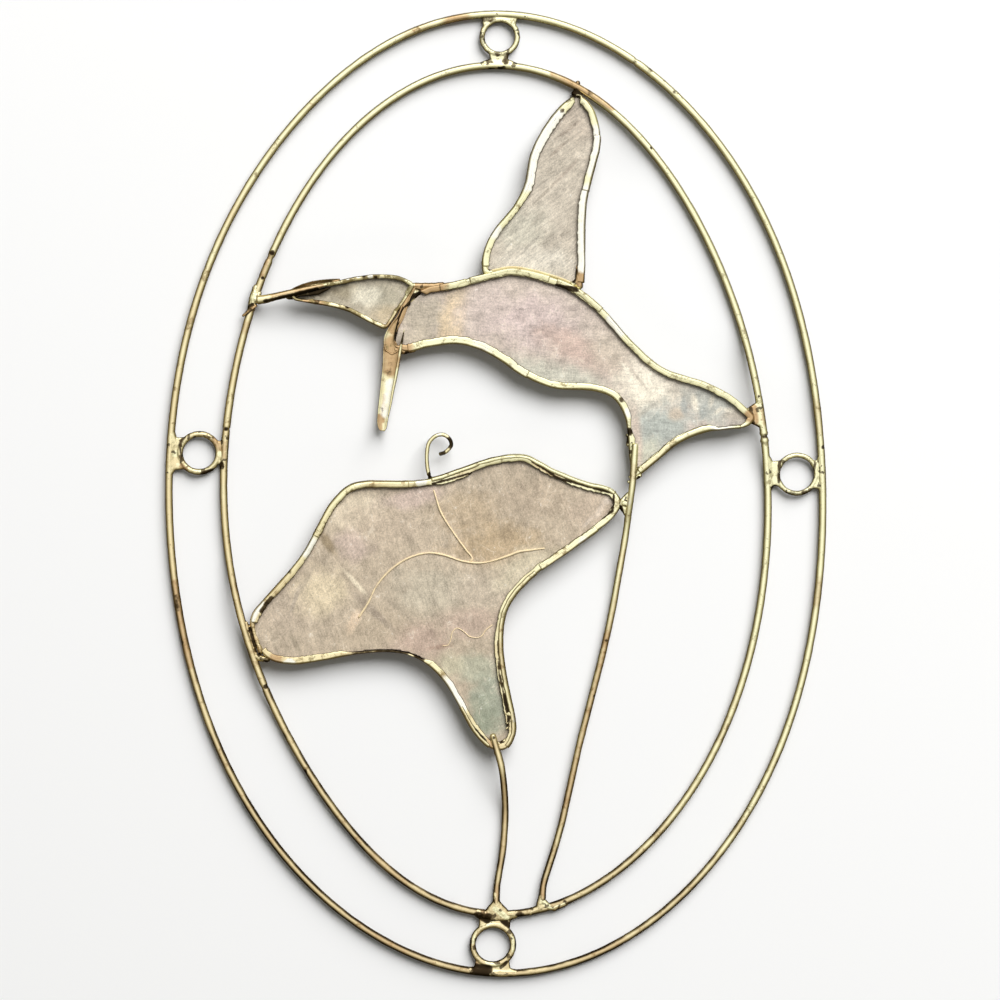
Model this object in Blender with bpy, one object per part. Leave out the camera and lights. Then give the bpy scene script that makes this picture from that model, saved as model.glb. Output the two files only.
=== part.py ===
"""Capiz shell suncatcher that hangs upright and faces -Y.

Two oval hoops of brass wire are joined by four rings. Inside the inner hoop hang four plates of capiz shell,
each bound in a folded brass channel: a bird's body and tail, its raised wing, its forward wing, and a trumpet
flower. A brass beak, a curled tendril and two stems finish the scene.

Sizes are in millimetres. The drawing is laid out about the centre of the hoops, x to the right and z up, and
the whole is then moved so that the point it hangs by, the inside top of the top ring, is the origin.
"""

import math

import bmesh
import bpy
import numpy as np

MM = 0.001
HANG_X, HANG_Z = 0.5, 118.4  # inside top of the top ring, from the centre of the hoops

# Wires
HOOP_R = 0.95  # brass wire of the hoops, radius
STEM_R = 0.85
TENDRIL_R = 0.42
CLEAR = 0.3  # gap between two pieces that are soldered together

# Plates and their brass channels
SHELL_T = 0.8  # thickness of a capiz plate
WALL = 0.4  # outer wall of the channel
LIP = 1.5  # width of the channel on the face of a plate
HALF_SLOT = SHELL_T / 2 + CLEAR
HALF_DEPTH = HALF_SLOT + 0.4
FRONT = -(HALF_DEPTH + CLEAR)  # where a piece that lies on the face of a channel has its back

# Oval hoops: half width, half height, tilt in degrees, height of the centre, and the small waves of a hoop
# bent by hand, as (cosine, sine) for each number of waves round it.
OUTER = (82.0, 119.6, 0.55, 0.0, {1: (0, 0.19), 2: (-0.07, 0), 3: (-0.42, -0.29), 5: (-0.05, 0.12),
                                 6: (-0.22, -0.07)})
INNER = (67.35, 105.4, 1.85, 1.6, {1: (0, 0.06), 3: (-0.36, -0.06), 4: (0.65, -0.32), 5: (-0.16, -0.12),
                                  6: (0, 0.19)})

# Rings: centre x, z, radius of the hole, radius outside, then one web of solder to each hoop as
# (direction in degrees, how far it reaches, half width at the ring, half width at the hoop).
RINGS = {
    "ring_top": (0.5, 114.8, 3.65, 5.1, ((91, 5.6, 3.9, 4.6), (268, 7.0, 1.9, 3.8))),
    "ring_left": (-74.6, 10.8, 4.0, 5.6, ((181, 7.3, 3.4, 4.4), (2, 6.4, 2.9, 3.6))),
    "ring_right": (74.8, 5.5, 4.15, 5.5, ((178, 7.3, 3.4, 4.2), (0, 6.9, 3.2, 4.0))),
    "ring_bottom": (-1.2, -112.1, 4.2, 5.85, ((85, 8.2, 3.2, 4.6), (268, 7.3, 3.6, 5.2))),
}

# Outlines of the plates, as runs of points with a corner where one run meets the next.
BODY = (
    ((64.8, 19.7), (62.8, 17.5), (58.3, 16.8), (52.6, 16.2), (45.6, 13.5), (39.3, 8.4), (33.6, 3.8)),
    ((33.6, 3.8), (32.8, 10.3), (31.8, 19.5), (28.8, 24.5), (24.1, 26.2), (14.1, 26.9), (6.3, 30.0),
     (-1.4, 35.2), (-8.9, 38.0), (-16.9, 37.4), (-23.4, 36.0), (-26.0, 37.8), (-25.5, 42.0), (-24.4, 45.8),
     (-21.7, 49.4), (-17.9, 52.3), (-11.9, 53.3), (-4.4, 55.2), (3.6, 56.9), (12.1, 55.2), (19.6, 52.3),
     (26.6, 46.7), (33.6, 38.8), (41.3, 32.2), (52.2, 28.5), (58.9, 24.9), (64.8, 19.7)),
)
RAISED_WING = (
    ((-3.4, 51.0), (-3.9, 55.5), (-3.9, 60.0), (-1.4, 66.0), (4.3, 73.0), (6.8, 78.5), (8.1, 85.5),
     (11.3, 92.0), (15.6, 97.6), (19.8, 100.8)),
    ((19.8, 100.8), (23.1, 98.3), (25.3, 93.0), (25.6, 87.5), (23.8, 80.5), (22.3, 73.5), (21.9, 64.0),
     (21.9, 57.3), (21.3, 47.0)),
    ((21.3, 47.0), (-3.4, 51.0)),
)
FORWARD_WING = (
    ((-51.7, 51.0), (-46.2, 53.0), (-40.2, 53.8), (-35.4, 54.9), (-29.9, 55.5), (-24.4, 55.0), (-20.2, 52.9)),
    ((-20.2, 52.9), (-24.1, 47.2), (-27.9, 41.3)),
    ((-27.9, 41.3), (-32.4, 43.5), (-37.9, 46.3), (-44.9, 47.9), (-51.7, 49.0)),
    ((-51.7, 49.0), (-51.7, 51.0)),
)
FLOWER = (
    ((-61.9, -30.5), (-56.7, -23.7), (-49.4, -15.2), (-44.9, -7.2), (-41.7, -1.5), (-37.2, 2.8), (-32.4, 3.9),
     (-24.4, 3.8), (-16.7, 4.5), (-9.4, 6.9), (-0.2, 9.9), (7.1, 10.3), (13.8, 6.8), (22.3, 3.5), (28.6, 1.8),
     (31.0, -1.5), (28.8, -5.5), (17.6, -14.0), (8.1, -20.8), (2.5, -28.0), (1.2, -36.0), (2.1, -44.7),
     (3.8, -52.7), (4.5, -58.7), (2.2, -63.2), (-1.7, -63.1), (-5.9, -59.2), (-9.7, -52.5), (-13.7, -46.0),
     (-19.2, -41.0), (-24.4, -39.2), (-33.2, -39.2), (-43.2, -41.0), (-51.9, -42.1), (-57.4, -40.6),
     (-60.7, -36.5)),
)

# The pinched end of the forward wing's channel: a strip that runs to the hoop, and the flap folded over the
# wing tip in front.
SPIKE = ((-59.6, 49.2), (-51.4, 51.1), (-51.4, 49.7), (-59.6, 48.3))
FLAP = ((-53.4, 50.6), (-51.0, 51.8), (-49.1, 52.7), (-45.2, 53.6), (-40.6, 53.9), (-40.8, 52.7), (-46.0, 51.2),
        (-53.4, 49.4))

BEAK = ((-28.5, 40.6), (-28.8, 35.0), (-29.4, 27.8), (-30.1, 18.4), (-29.6, 16.9), (-28.5, 16.3), (-27.5, 17.2),
        (-26.6, 23.0), (-25.5, 29.3), (-23.9, 37.5))

# Wires as (x, y, z): the tops of both stems lie on the front of the channels that they hold.
LAY = FRONT - STEM_R
FLOWER_STEM = ((-0.8, LAY, -59.1), (0.1, LAY, -63.0), (0.9, LAY, -67.0), (1.6, -1.2, -72.5), (1.9, 0, -79.0),
               (1.4, 0, -87.5), (0.4, 0, -93.8), (-0.3, 0, -98.0), (-0.8, 0, -102.9))
TAIL_STEM = ((34.5, LAY, 13.3), (33.9, LAY, 6.5), (33.4, LAY, 1.5), (32.7, -1.3, -3.5), (32.2, -0.2, -8.0),
             (30.7, 0, -17.2), (28.6, 0, -28.7), (26.2, 0, -39.5), (20.6, 0, -61.2), (18.3, 0, -71.7),
             (15.8, 0, -82.6), (13.3, 0, -91.0), (11.6, 0, -96.2), (10.7, 0, -101.3))
# Solder on the tail stem, where the tip of the flower leans against it.
TIP_SOLDER = ((32.7, 1.2), (31.9, 0.0), (31.35, -1.3), (31.2, -2.6), (31.6, -3.9), (32.3, -4.8))
PRONG = ((-26.1, 0.0, 28.5), (-25.7, -0.5, 31.5), (-25.0, -1.6, 34.0), (-24.3, -1.95, 36.5), (-23.3, -1.8, 41.6))
TENDRIL = ((-17.1, 0, 5.0), (-17.6, 0, 7.5), (-17.7, 0, 10.6), (-17.2, 0, 13.3), (-15.6, 0, 15.0),
           (-13.7, 0, 15.4), (-12.2, 0, 14.5), (-11.6, 0, 12.9), (-12.4, 0, 11.6), (-13.5, 0, 10.8),
           (-14.7, 0, 10.5))


def smooth(points, closed=False, step=0.5):
    """Points about every `step` along a Catmull-Rom curve through the given ones."""
    points = [np.array(p, float) for p in points]
    count = len(points)

    def at(i):
        if closed:
            return points[i % count]
        if i < 0:
            return 2 * points[0] - points[1]
        return points[i] if i < count else 2 * points[-1] - points[-2]

    found = []
    for i in range(count if closed else count - 1):
        p = [at(i + k) for k in (-1, 0, 1, 2)]
        t = [0.0]
        for a, b in zip(p, p[1:]):
            t.append(t[-1] + math.sqrt(np.linalg.norm(b - a)))
        pieces = max(1, math.ceil(np.linalg.norm(p[2] - p[1]) / step))
        for u in (t[1] + (t[2] - t[1]) * k / pieces for k in range(pieces)):
            a = [p[j] + (p[j + 1] - p[j]) * (u - t[j]) / (t[j + 1] - t[j]) for j in range(3)]
            b = [a[j] + (a[j + 1] - a[j]) * (u - t[j]) / (t[j + 2] - t[j]) for j in range(2)]
            found.append(b[0] + (b[1] - b[0]) * (u - t[1]) / (t[2] - t[1]))
    return found if closed else found + [points[-1]]


def outline(runs):
    """The closed outline through the runs, which has no corner when there is only one run."""
    if len(runs) == 1:
        return np.array(smooth(runs[0], closed=True))
    return np.array([p for run in runs for p in smooth(run)[:-1]])


def thinned(points, tolerance):
    """The points of an open line that hold its shape to the tolerance."""
    points = np.array(points, float)
    if len(points) < 3:
        return list(points)
    start, end = points[0], points[-1]
    along = end - start
    length = np.linalg.norm(along)
    if length < 1e-6:
        off = np.linalg.norm(points - start, axis=1)
    else:
        share = np.clip((points - start) @ along / length**2, 0, 1)
        off = np.linalg.norm(points - start - share[:, None] * along, axis=1)
    far = int(off.argmax())
    if off[far] < tolerance:
        return [start, end]
    return thinned(points[: far + 1], tolerance)[:-1] + thinned(points[far:], tolerance)


def thinned_loop(loop, tolerance=0.08):
    far = int(np.linalg.norm(loop - loop[0], axis=1).argmax())
    closed = np.vstack([loop, loop[:1]])
    return np.array(thinned(closed[: far + 1], tolerance)[:-1] + thinned(closed[far:], tolerance)[:-1])


def inset(loop, depth):
    """The outline moved inward by `depth`, or outward if it is negative."""
    after, before = np.roll(loop, -1, 0), np.roll(loop, 1, 0)
    area = np.sum(loop[:, 0] * after[:, 1] - after[:, 0] * loop[:, 1])
    run = after - before
    inward = np.stack([-run[:, 1], run[:, 0]], 1) * math.copysign(1, area)
    inward /= np.linalg.norm(inward, axis=1)[:, None]
    edge = after - loop
    kept = []
    for point in loop + depth * inward:
        share = np.clip(np.sum((point - loop) * edge, 1) / np.sum(edge**2, 1), 0, 1)
        if np.linalg.norm(point - loop - share[:, None] * edge, axis=1).min() > abs(depth) - 0.02:
            kept.append(point)
    return np.array(kept)


def solid(name, points, faces, color=None, metallic=1.0, roughness=0.3):
    """A node from points in millimetres, with its own material."""
    mesh = bpy.data.meshes.new(name)
    edit = bmesh.new()
    corners = [edit.verts.new(((x - HANG_X) * MM, y * MM, (z - HANG_Z) * MM)) for x, y, z in points]
    for face in faces:
        edit.faces.new([corners[i] for i in face])
    bmesh.ops.recalc_face_normals(edit, faces=edit.faces)
    edit.to_mesh(mesh)
    edit.free()
    piece = bpy.data.objects.new(name, mesh)
    bpy.context.scene.collection.objects.link(piece)
    if color:
        material = bpy.data.materials.new(name)
        material.use_nodes = True
        surface = material.node_tree.nodes["Principled BSDF"].inputs
        surface["Base Color"].default_value = (*color, 1)
        surface["Metallic"].default_value = metallic
        surface["Roughness"].default_value = roughness
        mesh.materials.append(material)
    return piece


def plate(name, loop, back, front, **look):
    """A flat piece: the outline, from y = front to y = back."""
    count = len(loop)
    points = [(x, front, z) for x, z in loop] + [(x, back, z) for x, z in loop]
    faces = [list(range(count)), list(range(count, 2 * count))[::-1]]
    faces += [(i, (i + 1) % count, count + (i + 1) % count, count + i) for i in range(count)]
    return solid(name, points, faces, **look)


def wire(name, path, radii, sides=8, closed=False, **look):
    """A round wire. One line of its corners faces the front all the way along."""
    path = np.array(path, float)
    count = len(path)
    radii = np.broadcast_to(radii, count)
    points, faces = [], []
    for i in range(count):
        ahead = path[(i + 1) % count] if closed else path[min(i + 1, count - 1)]
        behind = path[i - 1] if closed or i else path[0]
        run = (ahead - behind) / np.linalg.norm(ahead - behind)
        across = np.cross(run, (0, 1, 0))
        across /= np.linalg.norm(across)
        forward = np.cross(across, run)
        for k in range(sides):
            turn = 2 * math.pi * k / sides
            points.append(path[i] + radii[i] * (math.sin(turn) * across + math.cos(turn) * forward))
    for i in range(count if closed else count - 1):
        j = (i + 1) % count
        for k in range(sides):
            m = (k + 1) % sides
            faces.append((i * sides + k, i * sides + m, j * sides + m, j * sides + k))
    if not closed:
        faces += [list(range(sides)), list(range((count - 1) * sides, count * sides))]
    return solid(name, points, faces, **look)


def combine(piece, operation, tool):
    """Applies one Boolean at once and removes the tool."""
    step = piece.modifiers.new(operation, "BOOLEAN")
    step.operation, step.solver, step.object = operation, "EXACT", tool
    graph = bpy.context.evaluated_depsgraph_get()
    made = bpy.data.meshes.new_from_object(piece.evaluated_get(graph))
    piece.modifiers.clear()
    old, piece.data = piece.data, made
    made.name = piece.name
    bpy.data.meshes.remove(old)
    bpy.data.objects.remove(tool)


def hoop_path(shape, count):
    """The centre line of an oval hoop bent by hand."""
    wide, tall, tilt, rise, waves = shape
    tilt = math.radians(tilt)
    path = []
    for turn in (2 * math.pi * k / count for k in range(count)):
        x, z = wide * math.cos(turn), tall * math.sin(turn)
        out = np.array([tall * math.cos(turn), wide * math.sin(turn)])
        out /= np.linalg.norm(out)
        wave = sum(c * math.cos(n * turn) + s * math.sin(n * turn) for n, (c, s) in waves.items())
        x, z = x + wave * out[0], z + wave * out[1]
        path.append((x * math.cos(tilt) - z * math.sin(tilt), 0,
                     rise + x * math.sin(tilt) + z * math.cos(tilt)))
    return path


def ring(name, x, z, hole, outside, webs):
    """A ring of wire with a web of solder to each hoop, stopping short of both."""
    middle, radius = (hole + outside) / 2, (outside - hole) / 2
    circle = [(x + middle * math.cos(a), 0, z + middle * math.sin(a))
              for a in (2 * math.pi * (k + 0.5) / 20 for k in range(20))]
    piece = wire(name, circle, radius, sides=6, closed=True, color=BRASS, roughness=0.3)
    bore = [(x + (hole + 0.3) * math.cos(a), z + (hole + 0.3) * math.sin(a))
            for a in (2 * math.pi * k / 24 for k in range(24))]
    for direction, reach, at_ring, at_hoop in webs:
        aim = math.radians(direction)
        along, side = np.array((math.cos(aim), math.sin(aim))), np.array((-math.sin(aim), math.cos(aim)))
        half = [(0.45 * outside, at_ring), (outside + 0.1, 0.92 * at_ring), (reach, at_hoop)]
        loop = [np.array((x, z)) + u * along + s * v * side
                for s, line in ((1, half), (-1, half[::-1])) for u, v in line]
        web = plate("web", loop, 0.62, -0.62)
        combine(web, "DIFFERENCE", plate("bore", bore, 2, -2))
        combine(piece, "UNION", web)
    for shape, count in ((OUTER, 72), (INNER, 64)):
        room = wire("room", hoop_path(shape, count), HOOP_R + CLEAR, sides=12, closed=True)
        combine(piece, "DIFFERENCE", room)
    return piece


def panel(shell_name, edging_name, loop, shell_color, avoid=None):
    """A plate of shell and the folded channel that binds its edge."""
    shell = plate(shell_name, thinned_loop(inset(loop, WALL + CLEAR)), SHELL_T / 2, -SHELL_T / 2,
                  color=shell_color, metallic=0.0, roughness=0.35)
    edging = plate(edging_name, thinned_loop(loop), HALF_DEPTH, -HALF_DEPTH, color=BRASS, roughness=0.3)
    combine(edging, "DIFFERENCE", plate("slot", thinned_loop(inset(loop, WALL)), HALF_SLOT, -HALF_SLOT))
    combine(edging, "DIFFERENCE", plate("window", thinned_loop(inset(loop, LIP)), 3, -3))
    if avoid is not None:
        for piece in (shell, edging):
            combine(piece, "DIFFERENCE", plate("neighbour", thinned_loop(inset(avoid, -CLEAR)), 5, -5))
    return shell, edging


for thing in list(bpy.data.objects):
    bpy.data.objects.remove(thing)

BRASS = (0.83, 0.66, 0.36)

wire("outer_hoop", hoop_path(OUTER, 72), HOOP_R, closed=True, color=BRASS, roughness=0.28)
wire("inner_hoop", hoop_path(INNER, 64), HOOP_R, closed=True, color=BRASS, roughness=0.28)
for ring_name, numbers in RINGS.items():
    ring(ring_name, *numbers)

body = outline(BODY)
panel("body_shell", "body_edging", body, (0.62, 0.53, 0.48))
panel("raised_wing_shell", "raised_wing_edging", outline(RAISED_WING), (0.56, 0.50, 0.44), avoid=body)
_, wing_edging = panel("forward_wing_shell", "forward_wing_edging", outline(FORWARD_WING), (0.55, 0.50, 0.42))
combine(wing_edging, "UNION", plate("spike", SPIKE, 0.45, -1.45))
combine(wing_edging, "UNION", plate("flap", FLAP, -0.95, -1.5))
panel("flower_shell", "flower_edging", outline(FLOWER), (0.60, 0.51, 0.40))

beak = plate("beak", BEAK, 0.4, -0.4, color=(0.86, 0.64, 0.38), roughness=0.25)
combine(beak, "DIFFERENCE", plate("neighbour", thinned_loop(inset(body, -CLEAR)), 5, -5))
combine(beak, "DIFFERENCE", plate("neighbour", thinned_loop(inset(outline(FORWARD_WING), -CLEAR)), 5, -5))
combine(beak, "UNION", wire("prong", PRONG, (0.3, 0.5, 0.5, 0.45, 0.1), sides=6))

flower_stem = thinned(smooth(FLOWER_STEM), 0.05)
wire("flower_stem", flower_stem, [0.25, 0.7] + [STEM_R] * (len(flower_stem) - 3) + [1.3], color=BRASS)
tail_stem = thinned(smooth(TAIL_STEM), 0.05)
stem = wire("tail_stem", tail_stem, [STEM_R * 0.8] + [STEM_R] * (len(tail_stem) - 2) + [1.3], color=BRASS)
combine(stem, "UNION", plate("solder", TIP_SOLDER, 0.5, -0.9))
wire("flower_tendril", thinned(smooth(TENDRIL), 0.05), TENDRIL_R, sides=6, color=(0.78, 0.68, 0.42))
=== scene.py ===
"""The looks of the capiz shell suncatcher: brass wire hoops and rings, a bird and a trumpet flower of
capiz shell in folded brass channels, and the solder that holds it all together.

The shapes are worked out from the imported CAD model, in millimetres, and turned into metres as each piece
is finished. Places on the drawing are given as (x, z) in millimetres from the centre of the hoops, as the
CAD source gives them, and at() moves them to the frame, whose origin is the inside top of the top ring.
"""

import math

import bmesh
import bpy
import numpy as np
from mathutils import Matrix, Vector, noise
from mathutils.geometry import interpolate_bezier


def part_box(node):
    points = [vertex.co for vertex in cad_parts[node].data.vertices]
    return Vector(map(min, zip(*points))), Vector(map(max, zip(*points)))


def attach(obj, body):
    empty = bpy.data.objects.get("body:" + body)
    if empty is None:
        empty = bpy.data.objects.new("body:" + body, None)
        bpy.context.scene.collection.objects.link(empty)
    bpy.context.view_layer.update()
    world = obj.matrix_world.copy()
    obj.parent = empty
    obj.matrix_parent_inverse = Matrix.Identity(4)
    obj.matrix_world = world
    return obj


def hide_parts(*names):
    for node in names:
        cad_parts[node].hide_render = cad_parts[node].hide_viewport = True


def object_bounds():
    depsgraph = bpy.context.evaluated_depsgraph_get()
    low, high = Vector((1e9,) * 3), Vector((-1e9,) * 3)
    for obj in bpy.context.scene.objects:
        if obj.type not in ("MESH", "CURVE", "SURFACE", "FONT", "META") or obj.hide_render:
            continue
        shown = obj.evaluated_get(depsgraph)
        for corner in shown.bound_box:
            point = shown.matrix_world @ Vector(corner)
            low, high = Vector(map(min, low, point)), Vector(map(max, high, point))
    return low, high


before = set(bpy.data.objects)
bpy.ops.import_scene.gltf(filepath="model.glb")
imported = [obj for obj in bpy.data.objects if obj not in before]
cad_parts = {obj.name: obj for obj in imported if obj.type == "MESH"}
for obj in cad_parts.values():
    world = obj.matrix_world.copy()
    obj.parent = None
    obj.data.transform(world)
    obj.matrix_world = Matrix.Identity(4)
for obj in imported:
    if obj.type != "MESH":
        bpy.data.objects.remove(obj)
CAD_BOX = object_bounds()

MM = 0.001
HANG_X, HANG_Z = 0.5, 118.4  # inside top of the top ring, from the centre of the hoops
FRONT = Vector((0, -1, 0))

# Wires and channels, in millimetres
HOOP_R = 0.95
STEM_R = 0.85
TENDRIL_R = 0.49
RIM = 0.7  # how far a channel reaches out past the edge of its plate
CREST = 1.08  # half depth of a channel at its highest
STEP = 0.4  # spacing of the sections along a wire or channel
THICK = 0.8  # of a plate of shell
WELD = 0.002  # corners of the CAD nearer than this are one
JOIN = 1e-4  # corners of a swept skin nearer than this are one
MELT_RELIEF = 0.05  # how far the lumps on solder stand out
FRONT_SLACK = 0.03  # how far behind its foremost corner a wire's front line may lie


def at(x, z, y=0.0):
    """A place on the drawing, in the frame's millimetres."""
    return Vector((x - HANG_X, y, z - HANG_Z))


# ---------------------------------------------------------------- lines and outlines from the CAD nodes

def solid_of(node, deep=1.0):
    """A CAD node's mesh as a bmesh in millimetres, deep times as thick."""
    edit = bmesh.new()
    edit.from_mesh(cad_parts[node].data)
    bmesh.ops.scale(edit, vec=(1 / MM, deep / MM, 1 / MM), verts=edit.verts)
    return edit


def corners(mesh):
    """The places of a mesh's corners, in millimetres."""
    co = np.empty(len(mesh.vertices) * 3, np.float32)
    mesh.vertices.foreach_get("co", co)
    return co.reshape(-1, 3) / MM


def front_corners(node):
    """The corners along the front of a wire that lies flat in the drawing, each once."""
    points = np.unique(np.round(corners(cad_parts[node].data), 3), axis=0).astype(float)
    return points[points[:, 1] < points[:, 1].min() + FRONT_SLACK]


def chained(points, start):
    """The points in walking order, from the one nearest to start."""
    left = [Vector(p) for p in points]
    line = []
    here = Vector(start)
    while left:
        here = min(left, key=lambda p: (p - here).length_squared)
        left.remove(here)
        line.append(here)
    return line


def curved(points, closed=False, pieces=14):
    """A smooth line through the points."""
    points = [Vector(p) for p in points]
    count = len(points)

    def point(i):
        return points[i % count] if closed else points[min(max(i, 0), count - 1)]

    found = []
    for i in range(count if closed else count - 1):
        a, b, c, d = (point(i + k) for k in (-1, 0, 1, 2))
        length = (c - b).length
        lean_b = (c - a).normalized() * length / 3
        lean_c = (d - b).normalized() * length / 3
        found += interpolate_bezier(b, b + lean_b, c - lean_c, c, pieces + 1)[:-1]
    return found if closed else found + [points[-1]]


def even(points, step=STEP, closed=False):
    """The line again, with a point about every step."""
    line = np.array([tuple(p) for p in points], float)
    if closed:
        line = np.vstack([line, line[:1]])
    run = np.concatenate([[0], np.cumsum(np.linalg.norm(np.diff(line, axis=0), axis=1))])
    count = max(6, round(run[-1] / step))
    s = np.linspace(0, run[-1], count + 1)
    if closed:
        s = s[:-1]
    return np.stack([np.interp(s, run, line[:, k]) for k in range(3)], 1)


def softened(line, passes, closed=True):
    """The line with its kinks eased, by the mean of each point and its neighbours."""
    line = np.array(line, float)
    for _ in range(passes):
        after, before = np.roll(line, -1, 0), np.roll(line, 1, 0)
        if not closed:
            for beside in (after, before):
                beside[0], beside[-1] = line[0], line[-1]
        line = line / 2 + (after + before) / 4
    return line


def crest_line(node, start):
    """The line along the front of a wire that lies flat in the drawing, in the drawing's plane."""
    return [Vector((p.x, 0, p.z)) for p in chained(front_corners(node), start)]


def slices(node, levels, radius):
    """The centre of an upright wire at each level, taken from its right and front sides."""
    edit = solid_of(node)
    found = []
    for z in levels:
        everything = edit.verts[:] + edit.edges[:] + edit.faces[:]
        cut = bmesh.ops.bisect_plane(edit, geom=everything, plane_co=(0, 0, z), plane_no=(0, 0, 1))
        met = [v.co for v in cut["geom_cut"] if isinstance(v, bmesh.types.BMVert)]
        if met:
            found.append(Vector((max(p.x for p in met) - radius, min(p.y for p in met) + radius, z)))
    edit.free()
    return found


def face_outline(node):
    """The outline of a plate's front face, counter-clockwise as seen from the front."""
    edit = solid_of(node)
    bmesh.ops.remove_doubles(edit, verts=edit.verts, dist=WELD)
    front = {f for f in edit.faces if f.normal.y < -0.9}
    edges = [e for e in edit.edges if len(front & set(e.link_faces)) == 1]
    beside = {}
    for edge in edges:
        for vert in edge.verts:
            beside.setdefault(vert, []).append(edge.other_vert(vert))
    first = here = edges[0].verts[0]
    before, loop = None, []
    while True:
        loop.append(here.co.copy())
        onward = [v for v in beside[here] if v is not before]
        before, here = here, onward[0]
        if here is first:
            break
    edit.free()
    turn = sum(a.x * b.z - b.x * a.z for a, b in zip(loop, loop[1:] + loop[:1]))
    return loop if turn > 0 else loop[::-1]


def grown(loop, reach):
    """The outline moved outward, with its corners kept sharp."""
    found = []
    for i, here in enumerate(loop):
        back = (here - loop[i - 1]).normalized()
        on = (loop[(i + 1) % len(loop)] - here).normalized()
        out = (Vector((back.z, 0, -back.x)) + Vector((on.z, 0, -on.x))).normalized()
        lean = max(0.45, out.dot(Vector((on.z, 0, -on.x))))
        found.append(here + out * reach / lean)
    return found


def distance_to(points, line):
    """How far each point is from a closed line, in the plane of the drawing."""
    points, line = np.asarray(points, float)[:, [0, 2]], np.asarray(line, float)[:, [0, 2]]
    edge = np.roll(line, -1, 0) - line
    best = np.full(len(points), 1e9)
    for start, run in zip(line, edge):
        off = points - start
        share = np.clip(off @ run / max(run @ run, 1e-12), 0, 1)
        best = np.minimum(best, np.linalg.norm(off - share[:, None] * run, axis=1))
    return best


def ripple(x, y=0.0, z=0.0):
    """Smooth noise from -1 to 1."""
    return noise.noise((x, y, z))


# ---------------------------------------------------------------- shader maths

class Value:
    """A socket of a node tree. Arithmetic on it adds Math nodes."""

    def __init__(self, nodes, socket):
        self.nodes, self.socket = nodes, socket

    def _math(self, operation, *others):
        return self.nodes.add("ShaderNodeMath", {"operation": operation}, dict(enumerate(others)))

    def _range(self, *levels):
        settings = {"interpolation_type": "SMOOTHSTEP"}
        return self.nodes.add("ShaderNodeMapRange", settings, dict(enumerate((self, *levels))))

    def __add__(self, other):
        return self._math("ADD", self, other)

    def __radd__(self, other):
        return self._math("ADD", other, self)

    def __sub__(self, other):
        return self._math("SUBTRACT", self, other)

    def __rsub__(self, other):
        return self._math("SUBTRACT", other, self)

    def __mul__(self, other):
        return self._math("MULTIPLY", self, other)

    def __rmul__(self, other):
        return self._math("MULTIPLY", other, self)

    def __truediv__(self, other):
        return self._math("DIVIDE", self, other)

    def __rtruediv__(self, other):
        return self._math("DIVIDE", other, self)

    def __pow__(self, other):
        return self._math("POWER", self, other)

    def __rpow__(self, other):
        return self._math("POWER", other, self)

    def __abs__(self):
        return self._math("ABSOLUTE", self)

    def most(self, other):
        return self._math("MAXIMUM", self, other)

    def least(self, other):
        return self._math("MINIMUM", self, other)

    def rising(self, low, high, top=1.0):
        """0 below low, top above high, and smooth between."""
        return self._range(low, high, 0.0, top)

    def falling(self, low, high, top=1.0):
        """top below low, 0 above high, and smooth between."""
        return self._range(low, high, top, 0.0)


class Nodes:
    """The node tree of a material or of the world."""

    def __init__(self, owner):
        self.owner = owner
        owner.use_nodes = True
        self.tree = owner.node_tree
        self.tree.nodes.clear()

    def add(self, kind, settings=None, sockets=None, out=0):
        """A node: its settings first, then the values or links of its sockets, by number or by name.

        A ramp's stops are (position, colour) pairs. What comes back is the node's socket out.
        """
        node = self.tree.nodes.new(kind)
        for key, value in (settings or {}).items():
            if key == "stops":
                stops = node.color_ramp.elements
                stops.remove(stops[1])
                for number, (position, colour) in enumerate(value):
                    stop = stops.new(position) if number else stops[0]
                    stop.position, stop.color = position, (*colour, 1)
            else:
                setattr(node, key, value)
        for key, value in (sockets or {}).items():
            entry = node.inputs[key]
            if isinstance(value, Value):
                self.tree.links.new(value.socket, entry)
            elif entry.type == "RGBA":
                entry.default_value = (*value, 1)
            else:
                entry.default_value = value
        return Value(self, node.outputs[out]) if node.outputs else None

    def mix(self, share, first, second):
        """Two colours mixed."""
        return self.add("ShaderNodeMix", {"data_type": "RGBA"}, {0: share, 6: first, 7: second}, out=2)


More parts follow.
